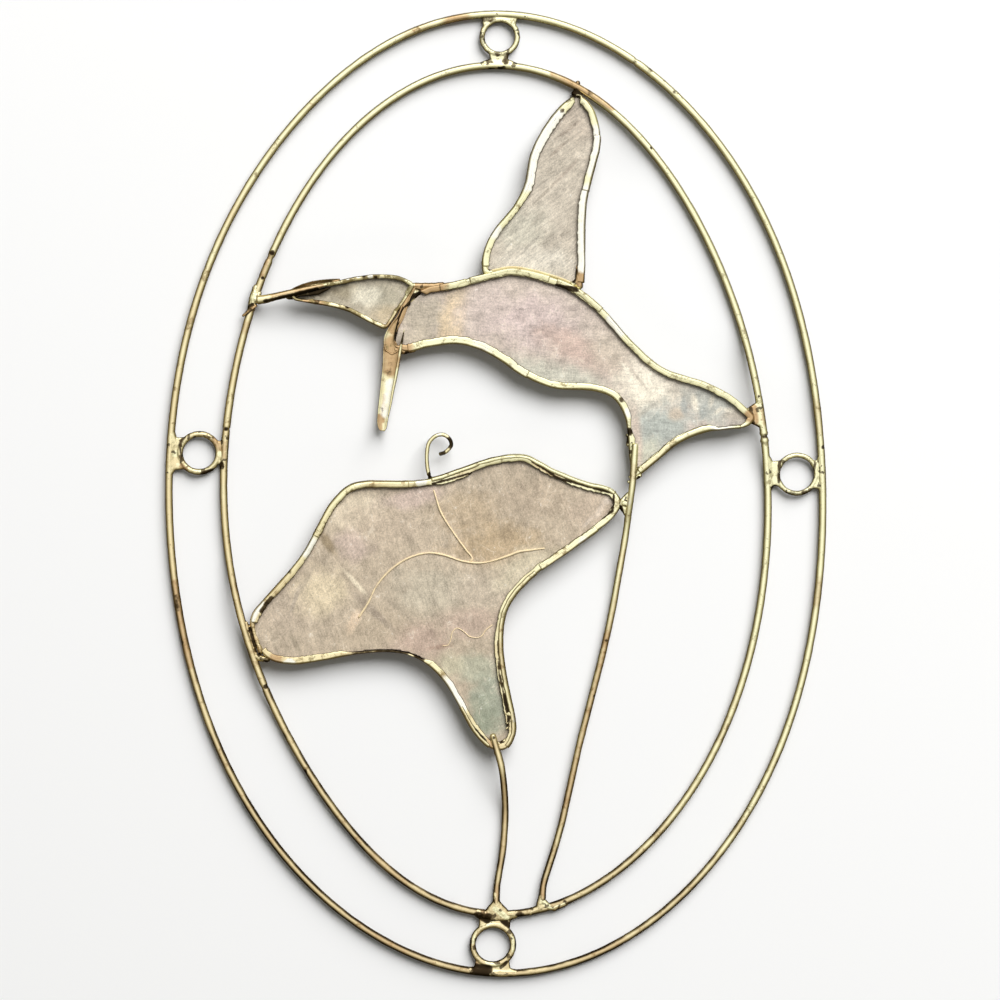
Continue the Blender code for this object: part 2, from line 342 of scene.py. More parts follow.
class Paint(Nodes):
    """A material under construction, on Object coordinates in millimetres."""

    def __init__(self, name):
        super().__init__(bpy.data.materials.new(name))
        place = self.add("ShaderNodeTexCoord", out="Object")
        self.place = self.add("ShaderNodeVectorMath", {"operation": "SCALE"}, {0: place, "Scale": 1 / MM})
        self.x, self.z = (self.add("ShaderNodeSeparateXYZ", sockets={0: self.place}, out=axis)
                          for axis in "XZ")

    def along(self, degrees, length, width):
        """The place on the piece, for streaks of that length and width, that many degrees up from +X."""
        return self.add("ShaderNodeMapping", {"vector_type": "TEXTURE"},
                        {"Vector": self.place, "Rotation": (0, -math.radians(degrees), 0),
                         "Scale": (length, width, width)})

    def noise(self, size, detail, roughness, where=None):
        """Noise from 0 to 1 whose lumps are about size millimetres."""
        return self.add("ShaderNodeTexNoise", {"noise_dimensions": "3D"},
                        {"Vector": where or self.place, "Scale": 1 / size,
                         "Detail": detail, "Roughness": roughness})

    def attribute(self, name):
        """The value of a layer of the mesh."""
        return self.add("ShaderNodeAttribute", {"attribute_name": name}, out="Fac")

    def bump(self, height, depth, strength=1.0):
        """A normal from a height from 0 to 1 that stands for depth millimetres."""
        sockets = {"Height": height, "Distance": depth * MM, "Strength": strength}
        return self.add("ShaderNodeBump", sockets=sockets)

    def surface(self, sockets):
        """The finished material, from the values of its shader's sockets."""
        shader = self.add("ShaderNodeBsdfPrincipled", sockets=sockets)
        self.add("ShaderNodeOutputMaterial", sockets={0: shader})
        return self.owner


# ---------------------------------------------------------------- finishes

LEMON = (0.95, 0.92, 0.62)
GOLD = (0.82, 0.70, 0.43)
BRONZE = (0.62, 0.50, 0.30)
ROSE = (0.55, 0.38, 0.21)
# The near white of painted highlights:
HIGHLIGHT_WHITE = (0.97, 0.96, 0.88)
OLIVE = (0.24, 0.19, 0.08)
# UMBER and SOOT_AND_SHADE colour grime and sooty marks, and painted shade too.
UMBER = (0.07, 0.045, 0.02)
SOOT_AND_SHADE = (0.02, 0.013, 0.007)


def brass(name, polish=0.0, rough=0.2, form=None, aged=0.0):
    """Brass: rosy where it was heated, with painted light across the piece: lemon and lighter towards the
    upper right, the lit side, and golden and darker low down and to the left.

    The UV map of a wire runs round it from its front, and that of a strip from the inner edge of its lip.
    Both carry painted shade: the sides and back of a wire are darker, and so are the corner under a lip,
    the crease along it and its rolled outer edge. The layer copper says where a piece is coppery, white
    where a painted highlight lies, stain where it is sooty or has dark joints and also where painted
    shade lies in gaps and under parts, and hollow where grime stays in concave places and where painted
    shade lies on sides that face away from the front.
    """
    p = Paint(name)
    uv = p.add("ShaderNodeTexCoord", out="UV")
    round_it = p.add("ShaderNodeSeparateXYZ", sockets={0: uv}, out="X")
    cloud = p.noise(9.0, 3.0, 0.6)
    patch = p.noise(2.2, 3.0, 0.6)
    speck = p.noise(0.45, 2.0, 0.6)
    # Painted light: lighter and lemon towards the upper right, the lit side, and golden towards the lower
    # left; the clouds in it are the brass's own tone.
    bright = p.x * 0.006 + (p.z + HANG_Z) * 0.0045 + (polish + 0.1)
    warm = (0.5 - bright + (cloud - 0.5) * 1.4).rising(0.1, 0.9)
    tone = p.mix(warm, LEMON, GOLD)
    # Painted shade: bronze and darker towards the bottom and the left, less on solder.
    low = ((p.z + HANG_Z) * -0.006 - p.x * 0.0025 + (cloud - 0.5) * 1.6 - 0.24).rising(0, 0.5)
    tone = p.mix(low * (0.25 if form == "solder" else 0.8), tone, BRONZE)
    rosy = (patch * 0.7 + cloud * 0.3 - 0.56 - bright * 0.08).rising(0, 0.12, 0.65)
    heated = (p.attribute("copper") + (patch - 0.5) * 0.9 * p.attribute("copper")).rising(0.1, 0.9)
    tone = p.mix((rosy + heated).least(1.0), tone, ROSE)
    # Painted highlights: where the white layer lies the brass goes near white, and solder lemon.
    painted_highlight = p.attribute("white")
    painted_highlight = (painted_highlight + (patch - 0.5) * 0.8 * painted_highlight.rising(0.02, 0.3)).rising(0.15, 0.7)
    tone = p.mix(painted_highlight, tone, LEMON if form == "solder" else HIGHLIGHT_WHITE)
    dull = (speck * 0.3 + patch * 0.7 - (0.565 - 0.09 * aged)).rising(0, 0.10, 0.6 + 0.2 * aged)
    dull = dull * (1.0 - painted_highlight * 0.9)
    shade_and_dirt = 0.0
    # Painted shade on a wire: darker on its sides and back, and low down darker close to its front too, so
    # its bright middle narrows.
    if form == "wire":
        side = abs(round_it - 0.5)
        shade_and_dirt = (side + (patch - 0.5) * 0.10).falling(0.24, 0.34, 0.35)
        shade_and_dirt = shade_and_dirt.most((side + (patch - 0.5) * 0.06).falling(0.39, 0.46, 0.96) * low)
    # On solder: darker in concave places, partly grime and partly painted shade, and on sides facing away
    # from the front as painted shade; noise blots, partly stains and partly painted dark reflections.
    if form == "solder":
        shade_and_dirt = p.attribute("hollow_and_shade").rising(0.42 - low * 0.22, 0.8 - low * 0.35, 0.9)
        shade_and_dirt = shade_and_dirt.most((p.noise(1.7, 1.0, 0.4) - low * 0.06).falling(0.33, 0.37, 0.85))
    # On a strip: painted shade in the corner under its lip, along the lip's crease, and over its rolled
    # outer edge and back.
    if form == "strip":
        corner = round_it.falling(0.01, 0.04, 0.9)
        crease = abs(round_it - 0.152).falling(0.006, 0.024, 0.3)
        crease = crease * (cloud * 0.5 + patch * 0.5).rising(0.44, 0.54)
        shade_and_dirt = corner.most(crease).most(round_it.rising(0.37, 0.42, 0.7))
    tone = p.mix(dull, tone, OLIVE)
    tone = p.mix(shade_and_dirt, tone, UMBER)
    # The stain layer: sooty marks and dark splices and joints, and painted shade in gaps, under lips and
    # on sides turned from the light; where strongest it goes near black.
    stain_and_shade = p.attribute("stain_and_shade")
    near = stain_and_shade.rising(0.02, 0.3)
    ragged = stain_and_shade + (patch - 0.5) * 1.2 * near + (speck - 0.5) * 0.3 * near
    tone = p.mix(ragged.rising(0.15, 0.55, 0.94), tone, UMBER)
    soot_and_shade = ragged.rising(0.45, 0.95, 0.88)
    tone = p.mix(soot_and_shade, tone, SOOT_AND_SHADE)
    scratch = p.noise(0.12, 2.0, 0.6)
    roughness = rough + (patch - 0.5) * 0.2 + dull * 0.1 + soot_and_shade * 0.2
    height = patch * 0.5 + speck * 0.35 + scratch * 0.15
    return p.surface({"Base Color": tone, "Metallic": 1.0, "Roughness": roughness,
                      "Normal": p.bump(height, 0.05, 0.6)})


SHADE = 0.905  # how much the shell is darker than its colours below


def pearl(name, ground, tints, grain=0.0, cross=None, streak=1.0):
    """Capiz shell: satin, slightly see-through plates of pale layers with fine streaks along the grain.

    Each tint is a cloud of colour: x, z, half width, half height, turn in degrees, colour and share.
    """
    p = Paint(name)
    wobble = (p.noise(5.0, 5.0, 0.65) - 0.5) * 1.7
    tone = tuple(c * SHADE for c in ground)
    for x, z, wide, tall, turn, colour, share in tints:
        place = at(x, z)
        lean = math.radians(turn)
        right = (p.x - place.x) * math.cos(lean) + (p.z - place.z) * math.sin(lean)
        up = (p.z - place.z) * math.cos(lean) - (p.x - place.x) * math.sin(lean)
        away = ((right / wide) ** 2 + (up / tall) ** 2) ** 0.5
        tone = p.mix((away + wobble).falling(0.4, 1.45, share), tone, tuple(c * SHADE for c in colour))
    fibre = p.noise(1.0, 3.0, 0.65, p.along(grain, 2.4, 0.4))
    weave = p.noise(1.0, 3.0, 0.65, p.along(grain + 90 if cross is None else cross, 2.2, 0.36))
    band = p.noise(1.0, 3.0, 0.6, p.along(grain, 16.0, 2.4))
    sand = p.noise(0.34, 3.0, 0.75)
    cloud = p.noise(3.5, 5.0, 0.65)
    layer = p.noise(11.0, 3.0, 0.5)
    grit = p.noise(0.8, 3.0, 0.7)
    light = (fibre - 0.5) * (0.55 * streak) + (weave - 0.5) * 0.25 + (sand - 0.5) * 0.85
    light = light + (grit - 0.5) * 0.3
    light = light + (band - 0.5) * (0.35 * streak) + (cloud - 0.5) * 0.7
    strength = 1.0 + light.most(-0.5).least(0.5) * 1.55
    tone = p.add("ShaderNodeVectorMath", {"operation": "SCALE"}, {0: tone, "Scale": strength})
    # Pale flecks: partly the shell's own white mottling and partly painted glints.
    fleck_and_glint = (p.noise(0.9, 3.0, 0.7) * 0.6 + cloud * 0.4 - 0.60).rising(0, 0.08, 0.5)
    tone = p.mix(fleck_and_glint, tone, (1.0, 0.98, 0.92))
    rim = abs(layer - 0.53).falling(0.002, 0.006, 0.35) + abs(layer - 0.47).falling(0.002, 0.005, 0.25)
    tone = p.mix(rim * cloud.rising(0.4, 0.6), tone, (0.93, 0.82, 0.66))
    height = fibre * 0.45 + weave * 0.2 + sand * 0.35
    sheen = 0.46 - (cloud - 0.5) * 0.3 - (fibre - 0.5) * 0.2
    return p.surface({"Base Color": tone, "Roughness": sheen, "Coat Weight": 0.10, "Coat Roughness": 0.35,
                      "Specular IOR Level": 0.45, "Normal": p.bump(height, 0.06, 0.6)})


def vein(name, colour, dark=(0.75, 0.60, 0.42)):
    """The filled hairline of a crack in a plate."""
    p = Paint(name)
    patch = p.noise(1.5, 2.0, 0.6)
    tone = p.mix((patch - 0.5).rising(-0.05, 0.2, 0.6), colour, dark)
    return p.surface({"Base Color": tone, "Roughness": 0.45, "Normal": p.bump(patch, 0.02)})


# ---------------------------------------------------------------- pieces

# Kinds of mark: stain, sooty marks and dark joints and also painted shade in gaps and under parts; copper,
# heat colour; white, painted highlights.
LAYERS = ("stain_and_shade", "copper", "white")


def painted(mesh, marks):
    """Writes how strongly each corner of the mesh is marked, in one layer for each kind of mark.

    A mark is (x, z, reach, strength), or (x, z, x, z, reach, strength) for a streak between two places.
    """
    co = corners(mesh)[:, [0, 2]]
    for layer in LAYERS:
        amount = np.zeros(len(co), np.float32)
        for *places, reach, strength in marks.get(layer, ()):
            start, end = at(*places[:2]), at(*places[-2:])
            off, run = co - (start.x, start.z), np.array((end.x - start.x, end.z - start.z))
            along = np.clip(off @ run / max(run @ run, 1e-9), 0, 1)
            near = np.clip(1.5 - 1.5 * np.linalg.norm(off - along[:, None] * run, axis=1) / reach, 0, 1)
            amount = np.maximum(amount, strength * near * near * (3 - 2 * near))
        mesh.attributes.new(layer, "FLOAT", "POINT").data.foreach_set("value", amount)


def hollows_and_shade(mesh, passes=4, reach=1.1):
    """Writes how dark each corner of the mesh is painted: in concave places, partly grime and partly
    painted shade, and on a side that faces away from the front, painted shade.
    """
    count = len(mesh.vertices)
    co = corners(mesh)
    normal = np.empty(count * 3, np.float32)
    ends = np.empty(len(mesh.edges) * 2, np.int32)
    mesh.vertex_normals.foreach_get("vector", normal)
    mesh.edges.foreach_get("vertices", ends)
    normal, ends = normal.reshape(-1, 3), ends.reshape(-1, 2)
    shared = np.maximum(np.bincount(ends.ravel(), minlength=count), 1)

    def mean(values):
        total = np.zeros_like(values)
        np.add.at(total, ends[:, 0], values[ends[:, 1]])
        np.add.at(total, ends[:, 1], values[ends[:, 0]])
        return (total.T / shared).T

    length = np.linalg.norm(co[ends[:, 0]] - co[ends[:, 1]], axis=1).mean()
    curve = ((mean(co) - co) * normal).sum(1) / length ** 2
    for _ in range(passes):
        curve = mean(curve)
    # Painted shade: a side turned away from the front, where the lamps are, is darker.
    aside = (normal[:, 1] + 0.95) / 0.9
    amount = np.clip(np.maximum(curve / reach, aside), 0, 1).astype(np.float32)
    mesh.attributes.new("hollow_and_shade", "FLOAT", "POINT").data.foreach_set("value", amount)


def placed(name, edit):
    """An object in the scene with the bmesh as its mesh. It frees the bmesh."""
    mesh = bpy.data.meshes.new(name)
    edit.to_mesh(mesh)
    edit.free()
    piece = bpy.data.objects.new(name, mesh)
    bpy.context.scene.collection.objects.link(piece)
    return piece


def finished(edit, name, look, slot, node=None, marks=None, hollow_and_shade=False):
    """Makes the piece from a bmesh in millimetres, kept inside the CAD model's box."""
    low, high = (Vector(c) / MM for c in CAD_BOX)
    for vert in edit.verts:
        vert.co = [min(max(vert.co[k], low[k]), high[k]) for k in range(3)]
    bmesh.ops.dissolve_degenerate(edit, edges=edit.edges, dist=JOIN)
    bmesh.ops.recalc_face_normals(edit, faces=edit.faces)
    bmesh.ops.scale(edit, vec=(MM,) * 3, verts=edit.verts)
    for face in edit.faces:
        face.smooth = True
    piece = placed(name, edit)
    if marks is not None:
        painted(piece.data, marks)
    if hollow_and_shade:
        hollows_and_shade(piece.data)
    piece.data.materials.append(look)
    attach(piece, "root")
    if node:
        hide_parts(node)


def swept(path, section, closed=False):
    """A skin along a path. section(i) gives its loop there, as (outward, forward) pairs."""
    path = [Vector(p) for p in path]
    count = len(path)
    loops = [section(i) for i in range(count)]
    sides = len(loops[0])
    edit = bmesh.new()
    edit.loops.layers.uv.new("UVMap")
    bmesh.ops.create_grid(edit, x_segments=sides, y_segments=count if closed else count - 1,
                          size=1, calc_uvs=True)
    edit.verts.ensure_lookup_table()
    for j in range(count + 1 if closed else count):
        i = j % count
        ahead = path[(i + 1) % count] if closed else path[min(i + 1, count - 1)]
        behind = path[i - 1] if closed or i else path[0]
        run = (ahead - behind).normalized()
        forward = (FRONT - run * run.dot(FRONT)).normalized()
        out = run.cross(forward)
        for k in range(sides + 1):
            across, depth = loops[i][k % sides]
            edit.verts[j * (sides + 1) + k].co = path[i] + out * across + forward * depth
    bmesh.ops.remove_doubles(edit, verts=edit.verts, dist=JOIN)
    if not closed:
        bmesh.ops.holes_fill(edit, edges=[e for e in edit.edges if e.is_boundary], sides=0)
    return edit


def wire(path, radius, closed=False, sides=16, seed=0.0, uneven=0.025, dents=(), taper=None):
    """A round wire, a little uneven, with dents as (x, z, reach, depth); a negative depth is a swelling.

    taper gives the radius along an open wire instead, from one end to the other.
    """
    hollows = [(at(x, z), reach, depth) for x, z, reach, depth in dents]

    def section(i):
        here = Vector(path[i])
        along = i / (len(path) - 1)
        thick = radius if taper is None else float(np.interp(along, np.linspace(0, 1, len(taper)), taper))
        thick *= (1 + uneven * ripple(here.x / 5, seed, here.z / 5)
                  + 0.4 * uneven * ripple(here.x, seed, here.z))
        for place, reach, depth in hollows:
            off = math.hypot(here.x - place.x, here.z - place.z) / reach
            if off < 1:
                thick -= depth * (1 - off * off) ** 2
        if not closed:
            end = min(i, len(path) - 1 - i) * STEP / radius
            thick *= math.sqrt(1 - (1 - min(1, end + 0.15)) ** 2)
        lean = 0.05 * ripple(here.x / 3, here.z / 3, seed + 7)
        return [(thick * (1 + lean) * math.sin(turn), thick * (1 - lean) * math.cos(turn))
                for turn in (2 * math.pi * k / sides for k in range(sides))]
    return swept(path, section, closed)


def ribbon(path, widths, front=0.45, back=0.4, rim=0.28, sink=0.2):
    """A flat strip with raised, rounded rims and a dished middle. widths run along it from end to end."""
    def section(i):
        along = i / (len(path) - 1)
        half = float(np.interp(along, np.linspace(0, 1, len(widths)), widths)) / 2
        edge = min(rim, half * 0.4)
        here = Vector(path[i])
        low = front - sink * min(1.0, half) + 0.05 * ripple(here.x / 1.4, here.z / 1.4, 3.0)
        right = [(half, 0.0), (half - 0.15 * edge, front * 0.8), (half - 0.5 * edge, front),
                 (half - edge, front * 0.94), (half - 1.6 * edge, low + 0.02), (half * 0.2, low - 0.02)]
        left = [(-a, d) for a, d in right[::-1]]
        return right + left + [(-half, -back), (half, -back)]
    return swept(path, section)


def room_inside(line):
    """For each point of a closed line, how far it is straight across to the other side."""
    flat = np.asarray(line, float)[:, [0, 2]]
    on = np.roll(flat, -1, 0) - np.roll(flat, 1, 0)
    inward = np.stack([-on[:, 1], on[:, 0]], 1) / np.linalg.norm(on, axis=1)[:, None]
    edge = np.roll(flat, -1, 0) - flat
    count = len(flat)
    room = np.full(count, 99.0)
    for i in range(count):
        off = flat - flat[i]
        cross = inward[i, 0] * edge[:, 1] - inward[i, 1] * edge[:, 0]
        cross[np.abs(cross) < 1e-9] = 1e-9
        along = (off[:, 0] * edge[:, 1] - off[:, 1] * edge[:, 0]) / cross
        share = (off[:, 0] * inward[i, 1] - off[:, 1] * inward[i, 0]) / cross
        met = (along > 0.2) & (share >= 0) & (share <= 1)
        if met.any():
            room[i] = along[met].min()
    return room


# Where a lip has corners across it, as shares of its width from its free edge
LIP_SPOTS = (0.0, 0.10, 0.25, 0.40, 0.47, 0.54, 0.66, 0.78, 0.88, 0.95, 0.985)
CREASE = {0.40: 0.6, 0.47: 1.0, 0.54: 0.5}  # how deep the crease along a lip is at each of its spots
GRIP = 0.45  # half the room that a channel leaves for its plate, and how far in its fold is filled
EDGE = 0.27  # how thick the lip's free edge is


def channel(line, room, closed, seed, lip, lift=0.0, tucks=(), flat=0.66, sunk=()):
    """A strip of brass folded over the edge of a plate, along the outline's outer line.

    tucks narrow or widen the front lip: (x, z, reach, width there). flat is how far the lip stays level
    before it rolls over the edge, from 0, all round, to 1, all flat. sunk places have a lower lip:
    (x, z, reach, drop).
    """
    places = [(at(x, z), reach, wide) for x, z, reach, wide in tucks]
    pits = [(at(x, z), reach, drop) for x, z, reach, drop in sunk]

    def section(i):
        here = Vector(line[i])
        s = i * STEP
        sag = max([0.0] + [drop * min(1.0, 3 - 3 * math.hypot(here.x - place.x, here.z - place.z) / reach)
                           for place, reach, drop in pits])
        shape = min(0.82, max(0.25, flat + 0.25 * ripple(s / 10, seed)))
        crease = 0.07 * max(0.0, 0.25 + ripple(s / 7, seed + 31))
        loop = []
        for face in (1, -1):
            width = lip * (1 + 0.12 * ripple(s / 2.5, seed + face))
            torn = 0.5 * max(0.0, ripple(s / 0.9, seed + 50) - 0.42)
            width += lip * (0.07 * ripple(s / 0.7, seed + 3 * face) - torn)
            if face > 0:
                for place, reach, wide in places:
                    off = math.hypot(here.x - place.x, here.z - place.z) / reach
                    if off < 1:
                        there = wide * (1 + 0.15 * ripple(s / 0.8, seed))
                        width += (there - width) * min(1, 2.5 * (1 - off))
            width = max(0.25, min(width, 0.46 * room[i]))
            tall = CREST * (1 + 0.05 * ripple(s / 4, seed + 5)) + lift - sag
            inner = tall - EDGE + 0.5 * sag + (0.05 + 0.1 * sag) * ripple(s / 1.5, seed + 9 * face)
            run = []
            for u in LIP_SPOTS:
                if u < shape:
                    depth = inner + (tall - inner) * (1 - (1 - u / shape) ** 2)
                else:
                    depth = tall * math.sqrt(1 - ((u - shape) / (1 - shape)) ** 2)
                depth -= crease * CREASE.get(u, 0.0)
                run.append((width * (u - 1) + lift, face * depth))
            loop.append((run, width))
        (front, wide_front), (back, wide_back) = loop
        wave = 0.06 * ripple(s / 3, seed + 20)
        outside = front + [(lift, 0.0)] + back[::-1]
        held = [(0.03 - max(wide_back, 0.5), 0.02 - GRIP), (-0.4, -GRIP),
                (-0.4, GRIP), (0.03 - max(wide_front, 0.5), GRIP - 0.02)]
        return [(a + wave, d) for a, d in outside + held]
    return swept(line, section, closed)


def shape_of(edit, kind, **settings):
    """The bmesh after a modifier of that kind with those settings. It frees the one it was given."""
    holder = placed("shape", edit)
    step = holder.modifiers.new(kind, kind)
    for key, value in settings.items():
        setattr(step, key, value)
    graph = bpy.context.evaluated_depsgraph_get()
    made = bmesh.new()
    made.from_mesh(holder.evaluated_get(graph).to_mesh())
    mesh = holder.data
    bpy.data.objects.remove(holder)
    bpy.data.meshes.remove(mesh)
    return made


def plate(node, outline, seed, pitch=0.55):
    """A plate of shell with the node's outline, in fine facets, gently waved and dished."""
    low, high = (Vector(c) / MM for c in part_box(node))
    wide, tall = high.x - low.x + 2, high.z - low.z + 2
    edit = bmesh.new()
    bmesh.ops.create_grid(edit, x_segments=round(wide / pitch), y_segments=round(tall / pitch), size=0.5)
    bmesh.ops.scale(edit, vec=(wide, tall, 1), verts=edit.verts)
    bmesh.ops.rotate(edit, cent=(0, 0, 0), matrix=Matrix.Rotation(math.pi / 2, 3, "X"), verts=edit.verts)
    bmesh.ops.translate(edit, vec=((low.x + high.x) / 2, 0, (low.z + high.z) / 2), verts=edit.verts)
    bmesh.ops.solidify(edit, geom=edit.faces[:], thickness=THICK)
    middle = (min(v.co.y for v in edit.verts) + max(v.co.y for v in edit.verts)) / 2
    bmesh.ops.translate(edit, vec=(0, -middle, 0), verts=edit.verts)
    whole = solid_of(node, 2.0)
    bmesh.ops.remove_doubles(whole, verts=whole.verts, dist=WELD)
    helper = placed("cutter", whole)
    made = shape_of(edit, "BOOLEAN", operation="INTERSECT", solver="EXACT", object=helper)
    bpy.data.objects.remove(helper)
    edge = distance_to([v.co for v in made.verts], outline)
    for vert, off in zip(made.verts, edge):
        vert.co.y -= skin_height(vert.co.x, vert.co.z, off, seed)
    return made


def skin_height(x, z, off, seed):
    """How far a plate's middle stands forward: in broad waves, and thin layers that end in steps."""
    ease = min(1.0, off / 5)
    broad = 0.35 * ripple(x / 22, seed, z / 22)
    layer = 0.04 * math.tanh(8 * ripple(x / 9, seed + 40, z / 9))
    fine = 0.03 * ripple(x / 1.5, seed + 80, z / 1.5)
    return ease * (broad + layer + fine)


def joined(chain):
    """A row of drops as clumps, each joined to the next."""
    return list(zip(chain, chain[1:]))


def melted(clumps, voxel=0.13, ease=5, relief=MELT_RELIEF, seed=0.0):
    """Solder. A clump is a few drops (place, radius) drawn together, and all the clumps melt into one."""
    edit = bmesh.new()
    for clump in clumps:
        drops = bmesh.new()
        for place, radius in clump:
            bmesh.ops.create_icosphere(drops, subdivisions=2, radius=radius,
                                       matrix=Matrix.Translation(place))
        cloud = [edit.verts.new(v.co) for v in drops.verts]
        drops.free()
        inner = bmesh.ops.convex_hull(edit, input=cloud)["geom_interior"]
        bmesh.ops.delete(edit, geom=[v for v in inner if isinstance(v, bmesh.types.BMVert)])
    made = shape_of(edit, "REMESH", mode="VOXEL", voxel_size=voxel)
    for _ in range(ease):
        bmesh.ops.smooth_vert(made, verts=made.verts, factor=0.5, use_axis_x=True, use_axis_y=True,
                              use_axis_z=True)
    made.normal_update()
    for vert in made.verts:
        x, y, z = vert.co
        lumps = ripple(x / 1.1 + seed, y / 1.1, z / 1.1) + 0.5 * ripple(x / 0.4, y / 0.4, z / 0.4 + seed)
        vert.co += vert.normal * (relief * lumps)
    return made


def toward(turn):
    """The direction in the drawing that is that many radians up from +X."""
    return Vector((math.cos(turn), 0, math.sin(turn)))


def ringed(centre, middle, radius, count=28):
    """A ring of wire as clumps of drops, a little out of round."""
    chain = []
    for k in range(count):
        turn = 2 * math.pi * k / count
        swell = 1 + 0.012 * math.sin(2 * turn + 1)
        chain.append((centre + middle * toward(turn) * swell, radius))
    return joined(chain + chain[:1])


def web(centre, middle, direction, hoop, spread, wide, waist, thick=0.55, coat=0.98):
    """Solder that fills the gap between a ring and a hoop, and coats the hoop.

    spread is its half angle on the ring, wide its half width along the hoop, and waist its half
    width between.
    """
    aim = toward(math.radians(direction))
    points = [Vector(p) for p in hoop]
    away = [p - centre for p in points]
    near = min(range(len(points)),
               key=lambda i: away[i].length * (1 + 9 * (1 - away[i].normalized().dot(aim))))
    meet = points[near]
    run = (points[(near + 3) % len(points)] - points[near - 3]).normalized()
    if run.dot(Vector((-aim.z, 0, aim.x))) < 0:
        run = -run
    onward = 1 if (points[(near + 3) % len(points)] - meet).dot(run) > 0 else -1
    rows = []
    for t in (-1, -0.67, -0.33, 0, 0.33, 0.67, 1):
        fill = thick * (0.85 + 0.4 * ripple(2.3 * t + 3, direction, middle))
        start = centre + middle * toward(math.radians(direction + t * spread))
        reach = round(t * wide / STEP) * onward
        end = points[(near + reach) % len(points)]
        half = (centre + aim * (middle + 0.5 * ((meet - centre).length - middle))) + run * (t * waist)
        rows.append(((start, thick), (half, fill), (end, coat)))
    clumps = []
    for left, right in zip(rows, rows[1:]):
        clumps += [[left[0], right[0], left[1], right[1]], [left[1], right[1], left[2], right[2]]]
    return clumps


# ---------------------------------------------------------------- hoops

def turned_in_order(points):
    """The points of a hoop in order round it, counter-clockwise as seen from the front."""
    middle = sum((Vector(p) for p in points), Vector()) / len(points)
    return sorted(points, key=lambda p: math.atan2(p[2] - middle.z, p[0] - middle.x))


WIRE = brass("brass_wire", form="wire")
STRIP = brass("brass_strip", polish=0.12, form="strip", aged=0.2)
OLD_STRIP = brass("old_brass_strip", polish=-0.1, form="strip", aged=1.3)
SOLDER = brass("solder", polish=0.16, rough=0.14, form="solder", aged=0.2)
SHEET = brass("brass_sheet", polish=0.10, aged=0.2)

# The nicks, splices and swellings of each hoop: x, z, reach, depth. Then its marks, as painted()
# takes them; their stain is partly sooty marks and dark splices and partly painted shade, and their
# white is painted highlight.
HOOP_DENTS = {
    "outer_hoop": (
        (34.3, 108.5, 0.9, 0.16), (44.1, 101.3, 0.6, 0.12), (81.3, 12.3, 0.8, 0.22),
        (-4.3, 118.8, 0.6, 0.2), (-8.6, -120.3, 1.6, 0.2),
    ),
    "inner_hoop": (
        (66.7, 15.8, 0.6, -0.18), (66.7, 13.9, 0.6, -0.18), (66.6, 14.9, 0.35, 0.2),
        (-56.9, 59.5, 1.0, 0.25), (-58.7, 54.5, 0.5, 0.15), (-62.4, 46.5, 0.9, 0.35),
        (-67.8, 16.8, 0.5, 0.22), (15.1, 105.0, 0.5, 0.15), (20.2, 103.5, 1.2, -0.35),
        (-57.9, -47.5, 0.8, 0.2), (-48.2, -69.0, 0.8, 0.2), (38.3, 87.0, 0.4, 0.12),
    ),
}
HOOP_MARKS = {
    "outer_hoop": dict(
        stain_and_shade=[
            (34.3, 108.2, 1.3, 0.4), (37.2, 106.6, 2.6, 0.25), (44.1, 101.0, 0.8, 0.4),
            (81.3, 12.3, 0.8, 0.9), (-5.2, 118.2, 0.8, 0.9), (-5.8, -119.0, -2.0, -119.6, 1.8, 1.0),
            (0.5, -120.3, 1.4, 0.5), (-80.4, -25.0, -79.9, -28.4, 0.9, 0.4), (-78.9, -36.6, 0.7, 0.7),
            (-79.7, 3.0, 1.6, 0.8),
        ],
        copper=[
            (80.6, 20.0, 8.0, 0.4), (-10.0, 118.0, 6.0, 0.8), (-20.0, 116.0, 7.0, 0.45),
            (-30.0, -115.0, 14.0, 0.5), (30.0, -115.0, 10.0, 0.4), (-80.9, -22.0, -77.0, -42.0, 2.0, 0.7),
            (79.0, -24.0, 7.0, 0.5),
        ],
    ),
    "inner_hoop": dict(
        stain_and_shade=[
            (66.7, 14.9, 1.0, 0.7), (-56.4, 60.8, 0.9, 1.0), (-58.7, 54.5, 0.6, 0.9),
            (-62.6, 45.9, 1.0, 0.9), (-67.8, 16.8, 0.7, 1.0), (23.3, 100.8, 1.6, 0.35),
            (-57.9, -47.5, 1.0, 0.9), (-48.2, -69.0, 1.0, 0.9), (38.3, 87.0, 0.5, 0.8),
            (16.8, -101.2, 0.7, 0.9), (65.2, 25.0, 0.5, 0.8), (-5.0, -105.2, 2.2, 0.8),
            (5.5, -105.0, 1.8, 0.8),
        ],
        copper=[
            (-57.0, 60.4, -58.9, 55.2, 1.1, 0.6), (-61.9, 47.6, 2.6, 1.0),
            (14.0, 105.6, 28.6, 97.2, 1.6, 0.75), (-64.6, -22.0, -61.6, -33.0, 1.7, 0.8),
            (-61.6, -33.0, -54.0, -51.0, 1.7, 0.7), (-62.5, 42.0, 3.0, 0.5), (-30.0, -95.0, 12.0, 0.5),
            (66.4, 20.0, 4.0, 0.6), (-3.5, -104.5, 3.0, 0.8), (-67.6, 11.5, 4.5, 0.6),
        ],
    ),
}
hoops = {}
for hoop, seed in (("outer_hoop", 1.0), ("inner_hoop", 5.0)):
    crest = front_corners(hoop)
    crest[:, 1] = 0
    hoops[hoop] = even(curved(turned_in_order(crest), closed=True), closed=True)
    oval = wire(hoops[hoop], HOOP_R, closed=True, seed=seed, dents=HOOP_DENTS[hoop])
    finished(oval, hoop + "_wire", WIRE, hoop, hoop, HOOP_MARKS[hoop])
